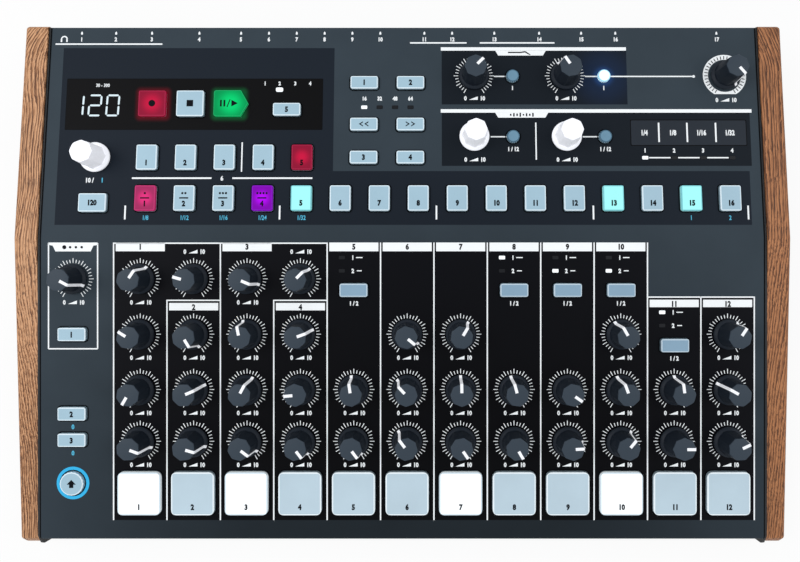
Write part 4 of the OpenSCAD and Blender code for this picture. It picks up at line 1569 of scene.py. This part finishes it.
@dataclass
class ButtonCaps:
    """Frosted caps over one group of switch buttons, lit one by one.

    Args:
        body: the body of the group, which names the pieces as well.
        section: the section the group lies on.
        caps: the caps.
        face: finish of an unlit cap.
        edge: finish of its edge, paler as a painted highlight.
        slot: the record's material slot.
        top: height of the covered solid above the panel.
        bottom: height of the caps' lower edge above the panel.
        border: width of the border inside the rounded edge, which bears the edge's painted
            highlight.
        seam: inner and outer growth of the painted shade round a cap, where its gap casts a shadow.
        sunk: how deep a legend goes into the cap.
        spots: the colours in which one cap is lit, with its lamp showing as a spot.
        spread: how far the spot spreads, as a share of the cap's width.
        part: what tells the pieces of one set of caps from those of another in the group.
    """

    body: str
    section: Section
    caps: list[Cap]
    face: Finish = CAP
    edge: Finish = CAP_EDGE_HIGHLIGHT
    slot: str = "button_plastic"
    top: float = 1.8
    bottom: float = 0.2
    border: float = 0.25
    seam: Place = (0.4, 0.95)
    sunk: float = 0.1
    spots: frozenset[Light] = frozenset((Light.RED, Light.PINK, Light.PURPLE, Light.GREEN))
    spread: float = 0.55
    part: str = ""

    def build(self) -> None:
        """Build the caps, one piece for each colour, and their legends."""
        lights = [light for light in (None, *Light) if any(cap.light == light for cap in self.caps)]
        for light in lights:
            mesh = bmesh.new()
            for cap in self.caps:
                if cap.light == light:
                    self.add(mesh, cap)
            finishes = [self.face, self.edge]
            name = f"{self.body}{self.part}_caps_{light.name.lower() if light else 'plain'}"
            if light:
                finishes = [light.face(), light.edge()]
                if light in self.spots:
                    cap = next(cap for cap in self.caps if cap.light == light)
                    centre = tuple(self.section.at(cap.x, cap.d, self.top).translation)
                    finishes[0] = light.spot(name, centre, self.spread * cap.width * MM)
            closed(mesh, name, [finish.build() for finish in finishes], self.body, self.slot,
                   smooth=True, turned=True)
        legend = Slabs(self.section, self.top + SKIN + FILM, self.top - self.sunk)
        # Painted shade on the panel round each cap, where the gap round it casts a shadow.
        painted_gap_shades = Slabs(self.section, TRIM)
        for cap in self.caps:
            Legend(legend, cap).draw()
            if not cap.halo:
                painted_gap_shades.frame(cap.outline(self.seam[0]), cap.outline(self.seam[1]), cap.x, cap.d)
        painted_gap_shades.done(f"{self.body}{self.part}_seams", PAINTED_GAP_SHADE)
        if legend.mesh.verts:
            legend.done(f"{self.body}{self.part}_legends", BLACK_INK, self.body, self.slot)

    def add(self, mesh: bmesh.types.BMesh, cap: Cap) -> None:
        """Add a cap: an upright wall, a rounded edge, a border and a lid.

        Args:
            mesh: the mesh it is added to.
            cap: the cap.
        """
        top, radius = self.top + SKIN, cap.edge
        profile = [(SKIN, self.bottom)]
        profile += [(SKIN - radius * (1 - math.cos(turn)), top - radius * (1 - math.sin(turn)))
                    for turn in (0.0, math.pi / 6, math.pi / 3, math.pi / 2)]
        profile.append((SKIN - radius - self.border, top))
        rings = [corners(mesh, self.section.at(cap.x, cap.d, height), cap.outline(grow))
                 for grow, height in profile]
        mesh.faces.new(rings[0][::-1])
        mesh.faces.new(rings[-1])
        for level, (low, high) in enumerate(zip(rings, rings[1:])):
            for face in walls(mesh, low, high):
                face.material_index = 1 if level else 0


@dataclass
class Legend:
    """What one cap bears: a number or a plain sign.

    Args:
        ink: the layer it is printed in.
        cap: the cap.
        size: height of a digit.
        bold: how much fatter than the plain face a digit is.
    """

    ink: Slabs
    cap: Cap

    size: float = 3.3
    bold: float = 0.08

    @property
    def d(self) -> float:
        """Return the distance of the legend's middle from the fold."""
        return self.cap.d + (self.cap.drop if self.ink.section.forward else -self.cap.drop)

    def draw(self) -> None:
        """Print the legend, if the cap has one."""
        legend = self.cap.legend
        signs = {"record": self.record, "stop": self.stop, "play": self.play,
                 "back": self.back, "next": self.next, "arrow": self.arrow}
        if legend in signs:
            signs[legend]()
        elif legend.startswith("bank"):
            self.bank(int(legend.removeprefix("bank")))
        elif legend:
            self.ink.number(legend, self.cap.x, self.d, self.size, self.bold)

    def record(self) -> None:
        """Print a dot."""
        self.ink.disc(self.cap.x, self.d, 2.1)

    def stop(self) -> None:
        """Print a square."""
        self.ink.bar(self.cap.x, self.d, 4.1, 4.1)

    def play(self) -> None:
        """Print two bars, a stroke and a triangle."""
        x, d = self.cap.x, self.d
        for place in (-6.2, -4.0):
            self.ink.bar(x + place, d, 1.1, 4.2)
        self.ink.bar(x - 1.4, d, 0.6, 5.2, 20)
        self.ink.outline([(0.4, -2.1), (4.4, 0.0), (0.4, 2.1)], x, d)

    def back(self, side: int = 1) -> None:
        """Print two open angles.

        Args:
            side: 1 where they point to the left, and -1 to the right.
        """
        points = [(0, 0), (2.6, 1.65), (2.6, 0.95), (1.1, 0), (2.6, -0.95), (2.6, -1.65)]
        for place in (-3.1, 0.3):
            self.ink.outline([(side * (px + place), py) for px, py in points], self.cap.x, self.d)

    def next(self) -> None:
        """Print two open angles to the right."""
        self.back(-1)

    def arrow(self) -> None:
        """Print a broad arrow to the back."""
        half = [(0, 2.6), (2.8, -0.3), (1.3, -0.3), (1.3, -2.4)]
        self.ink.outline(half + [(-px, py) for px, py in reversed(half[1:])], self.cap.x, self.d)

    def bank(self, number: int) -> None:
        """Print a number under a bar, with as many dots over it.

        Args:
            number: the number.
        """
        x, d = self.cap.x, self.d
        self.ink.number(str(number), x, d - 3.4, self.size, self.bold)
        self.ink.bar(x, d, 5.6, 0.85)
        for dot in range(number):
            self.ink.disc(x + (dot - (number - 1) / 2) * 1.9, d + 3.0, 0.7, 12)


@dataclass
class KnobPointers:
    """White inlays in the knobs' pointer grooves: over the cap, down the grip to the skirt.

    Args:
        panel: the folded panel.
        width: width of the inlay.
        inner: radius at which it starts on the cap.
        cap: radius of the cap.
        grip: radius of the grip at the skirt.
        round: rounding of the cap's edge.
        grip_foot: height at which the grip meets the skirt.
        rim: radius and height of the skirt's upper and outer edges.
        foot: radius and height of the inlay's lower side under the skirt's edges.
        proud: how far it stands out of its groove.
        depth: how deep it lies.
    """

    panel: Panel
    width: float = 1.76
    inner: float = 1.35
    cap: float = 6.9
    grip: float = 7.9
    round: float = 0.7
    grip_foot: float = 3.4
    rim: tuple[Place, Place] = ((8.95, 2.6), (9.28, 2.22))
    foot: tuple[Place, Place] = ((8.7, 2.45), (9.0, 2.2))
    proud: float = 0.04
    depth: float = 0.26

    def profile(self, top: float) -> list[Place]:
        """Work out an inlay's outline, seen from its side.

        Args:
            top: height of the knob.

        Returns:
            The radius and the height of each of its corners.
        """
        out, corner, under = self.proud, self.cap - self.round, self.grip - self.depth
        upper = [(self.inner, top + out), (corner, top + out),
                 (corner + 0.7 * self.round + out, top - 0.3 * self.round + out),
                 (self.cap + out, top - self.round), (self.grip + out, self.grip_foot + out),
                 *[(r + out, h + out) for r, h in self.rim]]
        lower = [(self.inner, top - self.depth), (self.cap - self.depth - 0.1, top - self.depth),
                 (under, self.grip_foot), (under, 2.75), *self.foot]
        return upper + lower[::-1]

    def build(self) -> None:
        """Build the inlay of every knob that has a pointer."""
        for knob in self.panel.knobs:
            if knob.endless:
                continue
            frame = self.panel.section(knob.front).at(knob.x, knob.d, 0, knob.angle)
            mesh = bmesh.new()
            verts = [mesh.verts.new(frame @ (Vector((-self.width / 2, r, h)) * MM))
                     for r, h in self.profile(KNOB_TOPS[knob.front])]
            extruded(mesh, [mesh.faces.new(verts)],
                     frame.to_3x3() @ Vector((self.width * MM, 0, 0)))
            closed(mesh, f"{knob.body}_pointer", [POINTER.build()], knob.body, "knob_plastic")


@dataclass
class Display:
    """The tempo display behind the smoked window: three digits and the source lamps.

    `SEGMENTS` names the segments of each digit that it shows, clockwise from the top one, a, and
    with g in the middle.

    Args:
        panel: the folded panel.
        digits: what it shows.
        x: left edge of the first digit.
        d: middle of the digits.
        width: width of a digit.
        height: height of a digit.
        pitch: distance between two digits.
        stroke: width of a segment.
        lean: sideways lean of the digits.
        sources: places of the four sources' numbers, of which the second one's lamp is lit.
    """

    panel: Panel
    digits: str = "120"
    x: float = -209.3
    d: float = 84.2
    width: float = 7.4
    height: float = 13.0
    pitch: float = 11.2
    stroke: float = 1.15
    lean: float = 0.04
    sources: tuple[float, ...] = (-87.3, -78.1, -68.2, -58.8)

    SEGMENTS: ClassVar[dict[str, str]] = {"0": "abcdef", "1": "bc", "2": "abged"}

    def bar(self, slabs: Slabs, x: float, y: float, length: float, upright: bool) -> None:
        """Add one pointed segment.

        Args:
            slabs: the layer it is added to.
            x: its middle across the machine.
            y: its middle above that of the digit.
            length: its length.
            upright: whether it stands upright.
        """
        s, half = self.stroke / 2, length / 2 - 0.3
        points = [(-half, 0), (-half + s, s), (half - s, s), (half, 0), (half - s, -s),
                  (-half + s, -s)]
        if upright:
            points = [(-py, px) for px, py in points]
        slabs.outline([(x + px + self.lean * (y + py), self.d + y + py) for px, py in points])

    def segments(self) -> None:
        """Build the digits."""
        slabs = Slabs(self.panel.rear, FILM)
        quarter, half = self.height / 4, self.height / 2
        for place, digit in enumerate(self.digits):
            left = self.x + place * self.pitch
            right, middle = left + self.width, left + self.width / 2
            bars = {"a": (middle, half, False), "g": (middle, 0, False),
                    "d": (middle, -half, False), "f": (left, quarter, True),
                    "b": (right, quarter, True), "e": (left, -quarter, True),
                    "c": (right, -quarter, True)}
            for key in self.SEGMENTS[digit]:
                x, y, upright = bars[key]
                self.bar(slabs, x, y, half if upright else self.width, upright)
        slabs.done("display_digits", DIGIT, slot="window")

    def build(self) -> None:
        """Build the digits, and the lamp and the numbers beside them."""
        self.segments()
        small = Slabs(self.panel.rear, FILM)
        for mark, x in enumerate(self.sources):
            small.number(str(mark + 1), x, 98.5, 2.4)
        small.number("30 - 300", -190.0, 97.3, 2.2, 0.04)
        small.done("display_numbers", INK, slot="window")
        lit = Slabs(self.panel.rear, 0.08)
        lit.outline(rounded(4.6, 2.8, 1.0, 3), self.sources[1], 94.4)
        lit.done("source_lamp", Light.WHITE.face(), slot="window")


@dataclass
class Halo:
    """The glow of a lit cap on the window round it.

    Args:
        name: name of the piece.
        section: the section it lies on.
        cap: the lit cap.
        inset: how far inside the cap's edge the light starts.
        gap: distance of its inner edge from the cap.
        reach: how far the glow spreads.
        strength: emission strength next to the cap.
        ground: colour of what it lies on.
    """

    name: str
    section: Section
    cap: Cap
    inset: float = 0.8
    gap: float = 0.05
    reach: float = 5.0
    strength: float = 0.12
    ground: Color = WINDOW.color

    def build(self) -> None:
        """Build a flat frame round the cap whose light fades outward."""
        cap = self.cap
        slabs = Slabs(self.section, FILM)
        slabs.frame(cap.outline(self.gap), cap.outline(self.reach), cap.x, cap.d)
        half = tuple((size / 2 - self.inset) * MM for size in (cap.width - cap.tip, cap.length))
        centre = tuple(self.section.at(cap.x - cap.tip / 2, cap.d).translation)
        glow = Glow(centre, half, self.reach * MM, self.strength)
        slabs.done(self.name, HaloFinish(f"{self.name}_finish", self.ground, cap.light.glow, glow),
                   slot="window")


@dataclass
class Lamps:
    """The small lamps' faces: a lens over each light pipe, a few of them lit.

    Args:
        panel: the folded panel.
        width: width of a lens.
        length: length of a lens.
        aside: how far left of a column's middle line its lamps are.
    """

    panel: Panel
    width: float = 3.8
    length: float = 2.2
    aside: float = 7.4

    def places(self, front: bool) -> list[tuple[float, float, bool]]:
        """Find the lamps of a section.

        Args:
            front: whether it is the front section.

        Returns:
            Each lamp's place, and whether it is lit.
        """
        if front:
            return [(self.panel.column(switch.column) - self.aside, d, switch.lit == mark)
                    for switch in TYPES for mark, d in enumerate(switch.lamps)]
        return [(in_row(row, number), d, number == 0)
                for row, d in ((BAR_LAMPS, 83.0), (STRIP_LAMPS, 50.6)) for number in range(4)]

    def build(self) -> None:
        """Build the lit and the unlit lens faces on both sections."""
        lens = rounded(self.width, self.length, 0.5, 3)
        for side, front in (("front", True), ("rear", False)):
            for state, on, finish in (("lit", True, Light.WHITE.face()),
                                      ("dark", False, LENS_DARK)):
                slabs = Slabs(self.panel.section(front), 0.1)
                for x, d, lit in self.places(front):
                    if lit == on:
                        slabs.outline(lens, x, d)
                slabs.done(f"{side}_lamps_{state}", finish, slot="window")


@dataclass
class TouchStrip:
    """The satin face of the touch strip with its dividers and note values.

    Args:
        panel: the folded panel.
        x: middle of the strip.
        d: distance of its middle from the fold.
        width: width of the face.
        length: length of the face.
        dividers: places of the white dividers.
        values: place of the first note value, and their pitch.
    """

    panel: Panel
    x: float = 179.685
    d: float = 66.6
    width: float = 72.2
    length: float = 15.8
    dividers: tuple[float, ...] = (161.0, 178.8, 196.8)
    values: Place = (151.8, 17.93)

    def build(self) -> None:
        """Build the strip's face and what is printed on it."""
        face = Slabs(self.panel.rear, FILM)
        face.outline(rounded(self.width, self.length, 0.6, 3), self.x, self.d)
        face.done("touch_strip_face", TOUCH, slot="window")
        ink = Slabs(self.panel.rear, Sheets.TOPS[0])
        for x in self.dividers:
            ink.span(x - 0.5, x + 0.5, 60.6, 73.0)
        for mark in range(4):
            ink.number(f"1/{4 * 2 ** mark}", in_row(self.values, mark), 66.7, 3.3, 0.07, 0.76)
        ink.done("touch_strip_print", INK, slot="window")


@dataclass
class Studio:
    """Pale floor, soft light and the camera.

    Args:
        panel: the folded panel.
        lens: focal length for a 36 mm wide sensor, in mm.
        shift: the camera's shift.
        foot: the place on the front section that the camera is above.
        height: the camera's height above it, in mm.
        paper: share of plain white in what the camera sees of the floor.
    """

    panel: Panel
    lens: float = 25.425
    shift: tuple[float, float] = (-0.0375, -0.03375)
    foot: Place = (17.1, 9.9)
    height: float = 350.0
    paper: float = 0.88

    def camera(self) -> None:
        """Place the camera above the fold, square to the front section."""
        data = bpy.data.cameras.new("camera")
        data.sensor_width = 36.0
        data.lens = self.lens
        data.shift_x, data.shift_y = self.shift
        data.clip_start = 0.01
        camera = bpy.data.objects.new("camera", data)
        place = self.panel.front.at(*self.foot, self.height)
        camera.location = place.translation
        camera.rotation_euler = place.to_euler()
        bpy.context.scene.collection.objects.link(camera)
        bpy.context.scene.camera = camera

    def floor(self) -> None:
        """Lay a wide pale floor that shows white to the camera and keeps the shadow."""
        mesh = bmesh.new()
        bmesh.ops.create_grid(mesh, x_segments=8, y_segments=8, size=3.0)
        data = bpy.data.meshes.new("floor")
        mesh.to_mesh(data)
        mesh.free()
        material = bpy.data.materials.new("floor_paper")
        material.use_nodes = True
        tree = material.node_tree
        graph, shader = Graph(tree), tree.nodes["Principled BSDF"]
        graph.fill(shader, {"Base Color": (0.9, 0.9, 0.9, 1), "Roughness": 0.9,
                            "Specular IOR Level": 0.1})
        self.whiten(graph, shader, graph.add("Emission", {}), tree.nodes["Material Output"],
                    self.paper)
        data.materials.append(material)
        floor = bpy.data.objects.new("floor", data)
        bpy.context.scene.collection.objects.link(floor)

    @staticmethod
    def whiten(graph: Graph, surface: Node, white: Node,
               output: Node, share: float) -> None:
        """Mix white into what the camera, gloss and glass see of a surface.

        Args:
            graph: the nodes.
            surface: the surface's own shader.
            white: a white shader.
            output: the output.
            share: share of the white one.
        """
        rays = graph.add("LightPath", {}).outputs
        seen = graph.math("MAXIMUM", rays["Is Camera Ray"], rays["Is Glossy Ray"])
        seen = graph.math("MAXIMUM", seen, rays["Is Transmission Ray"])
        mixed = graph.add("MixShader", {"Fac": graph.math("MULTIPLY", seen, share),
                                        1: surface.outputs[0], 2: white.outputs[0]})
        graph.fill(output, {"Surface": mixed.outputs["Shader"]})

    def world(self) -> None:
        """Set a soft even sky, white to the camera."""
        world = bpy.data.worlds.new("studio")
        bpy.context.scene.world = world
        world.use_nodes = True
        tree = world.node_tree
        graph, sky = Graph(tree), tree.nodes["Background"]
        graph.fill(sky, {"Color": (0.93, 0.96, 1.0, 1), "Strength": 0.6})
        white = graph.add("Background", {"Color": (1, 1, 1, 1)})
        self.whiten(graph, sky, white, tree.nodes["World Output"], 1.0)

    @staticmethod
    def lamp(name: str, place: Point, size: float, power: float) -> None:
        """Hang one soft square light, turned to the machine.

        Args:
            name: its name.
            place: where it hangs, in metres.
            size: its width, in metres.
            power: its power, in watts.
        """
        data = bpy.data.lights.new(name, "AREA")
        data.shape = "SQUARE"
        data.size = size
        data.energy = power
        lamp = bpy.data.objects.new(name, data)
        lamp.location = place
        toward = Vector((0, 0, 0.03)) - Vector(place)
        lamp.rotation_euler = toward.to_track_quat("-Z", "Y").to_euler()
        bpy.context.scene.collection.objects.link(lamp)

    def build(self) -> None:
        """Set the whole studio up."""
        bpy.context.scene.view_settings.view_transform = "Standard"
        self.floor()
        self.world()
        self.lamp("key", (-0.8, 0.08, 1.0), 0.7, 6.2)
        self.lamp("fill", (0.85, 0.1, 1.0), 0.8, 3.6)
        self.camera()


# ---------------------------------------------------------------- the machine


def transport_caps() -> list[Cap]:
    """Set out the caps in the display window.

    Returns:
        Record, stop, play and the source button.
    """
    return [Cap(-157.685, 85, *TALL_CAP, Light.RED, "record", halo=True),
            Cap(-133.785, 85, *TALL_CAP, None, "stop"),
            PlayCap(-108.085, 85, 21.4, 16.6, 1.5, Light.GREEN, "play", halo=True, tip=3.0),
            Cap(-72.985, 81.2, *SMALL_CAP, None, "5")]


def step_caps() -> list[Cap]:
    """Set out the caps of the sixteen steps and of the five modes behind them.

    Returns:
        The steps, then the modes.
    """
    lit = {0: Light.PINK, 3: Light.PURPLE, 4: Light.CYAN, 12: Light.CYAN, 14: Light.CYAN}
    steps = [Cap(in_row(STEP_ROW, i), 24.8, *STEP_CAP, lit.get(i),
                 f"bank{i + 1}" if i < 4 else str(i + 1), 0.0 if i < 4 else 3.0)
             for i in range(16)]
    return steps + [Cap(in_row(STEP_ROW, i), 50.6, *STEP_CAP, Light.RED if i == 4 else None,
                        str(i + 1), 3.4) for i in range(5)]


def rear_caps() -> list[Cap]:
    """Set out the caps of the rear section, outside the display window and the step rows.

    Returns:
        The six function buttons, the tap button and the four round ones.
    """
    caps = [Cap(x, d, *SMALL_CAP, None, label)
            for d, labels in ((98.6, ("1", "2")), (71.7, ("back", "next")), (50.6, ("3", "4")))
            for x, label in zip((-24.4, 4.8), labels)]
    caps.append(Cap(-192.385, 22.0, 17.3, 11.6, 1.5, None, "120"))
    return caps + [Cap(x, d, *ROUND_CAP, light, halo=light is Light.ICE) for x, d, light in (
        (69.3, 103.0, Light.SKY), (*BYPASS, Light.ICE), (69.3, 64, Light.SKY),
        (127.1, 64, Light.SKY))]


def button_groups(panel: Panel) -> list[ButtonCaps]:
    """Gather the caps of all five groups of buttons, with what is lit and printed.

    Args:
        panel: the folded panel.

    Returns:
        The groups, with the front section's type buttons as a set of their own.
    """
    column, left = panel.column, panel.knob("knob_metronome_volume").x
    white = {0, 2, 6, 9}
    pads = [Cap(column(i), 157.8, 26.6, 26.6, 3.5, Light.WHITE if i in white else None,
                str(i + 1), 8.0) for i in range(CHANNELS)]
    types = [Cap(column(switch.column), switch.cap, *SMALL_CAP) for switch in TYPES]
    front = [Cap(left, d, *SMALL_CAP, None, label)
             for d, label in ((59.55, "1"), (108.6, "2"), (124.8, "3"))]
    front.append(Cap(left, 151.7, 14.6, 14.6, 7.29, None, "arrow"))
    return [ButtonCaps("pads", panel.front, pads, PAD_IDLE, PAD_EDGE_HIGHLIGHT, "pad_plastic",
                       border=0.4),
            ButtonCaps("step_buttons", panel.rear, step_caps()),
            ButtonCaps("transport_buttons", panel.rear, transport_caps()),
            ButtonCaps("rear_buttons", panel.rear, rear_caps()),
            ButtonCaps("front_buttons", panel.front, front),
            ButtonCaps("front_buttons", panel.front, types, CAP_LOW, CAP_LOW_EDGE_HIGHLIGHT, part="_type")]


def main() -> None:
    """Dress the machine and set the studio."""
    logging.basicConfig(level=logging.INFO, format="%(name)s: %(message)s")
    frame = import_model()
    panel = Panel.from_frame(frame)
    Studio(panel).build()
    front, rear = Sheets.on(panel.front), Sheets.on(panel.rear)
    front_print, rear_print = FrontPrint(panel, front), RearPrint(panel, rear)
    # The strips beside the cheeks are painted shade; the rest are printed grounds.
    grounds = (*rear_print.edges(), *front_print.grounds(), *rear_print.grounds())
    bypass = tuple(panel.rear.at(*BYPASS).translation)
    # Painted shade on the coat round the middle of the front edge, and painted light away from it.
    dusk = Glow(tuple(panel.front.at(10.0, 176.0).translation), (0.05, 0.0), 0.29, 0.45, 1.24)
    CadDress(PaintedPanel(PANEL, grounds, dusk, bypass), panel).dress(frame["nodes"])
    front_print.build()
    rear_print.build()
    DialRings(panel, front, rear).draw()
    front.done("front")
    rear.done("rear")
    for group in button_groups(panel):
        group.build()
    KnobPointers(panel).build()
    Display(panel).build()
    for cap in transport_caps():
        if cap.halo:
            Halo(f"{cap.legend}_glow", panel.rear, cap).build()
    Lamps(panel).build()
    TouchStrip(panel).build()


if __name__ == "__main__":
    main()
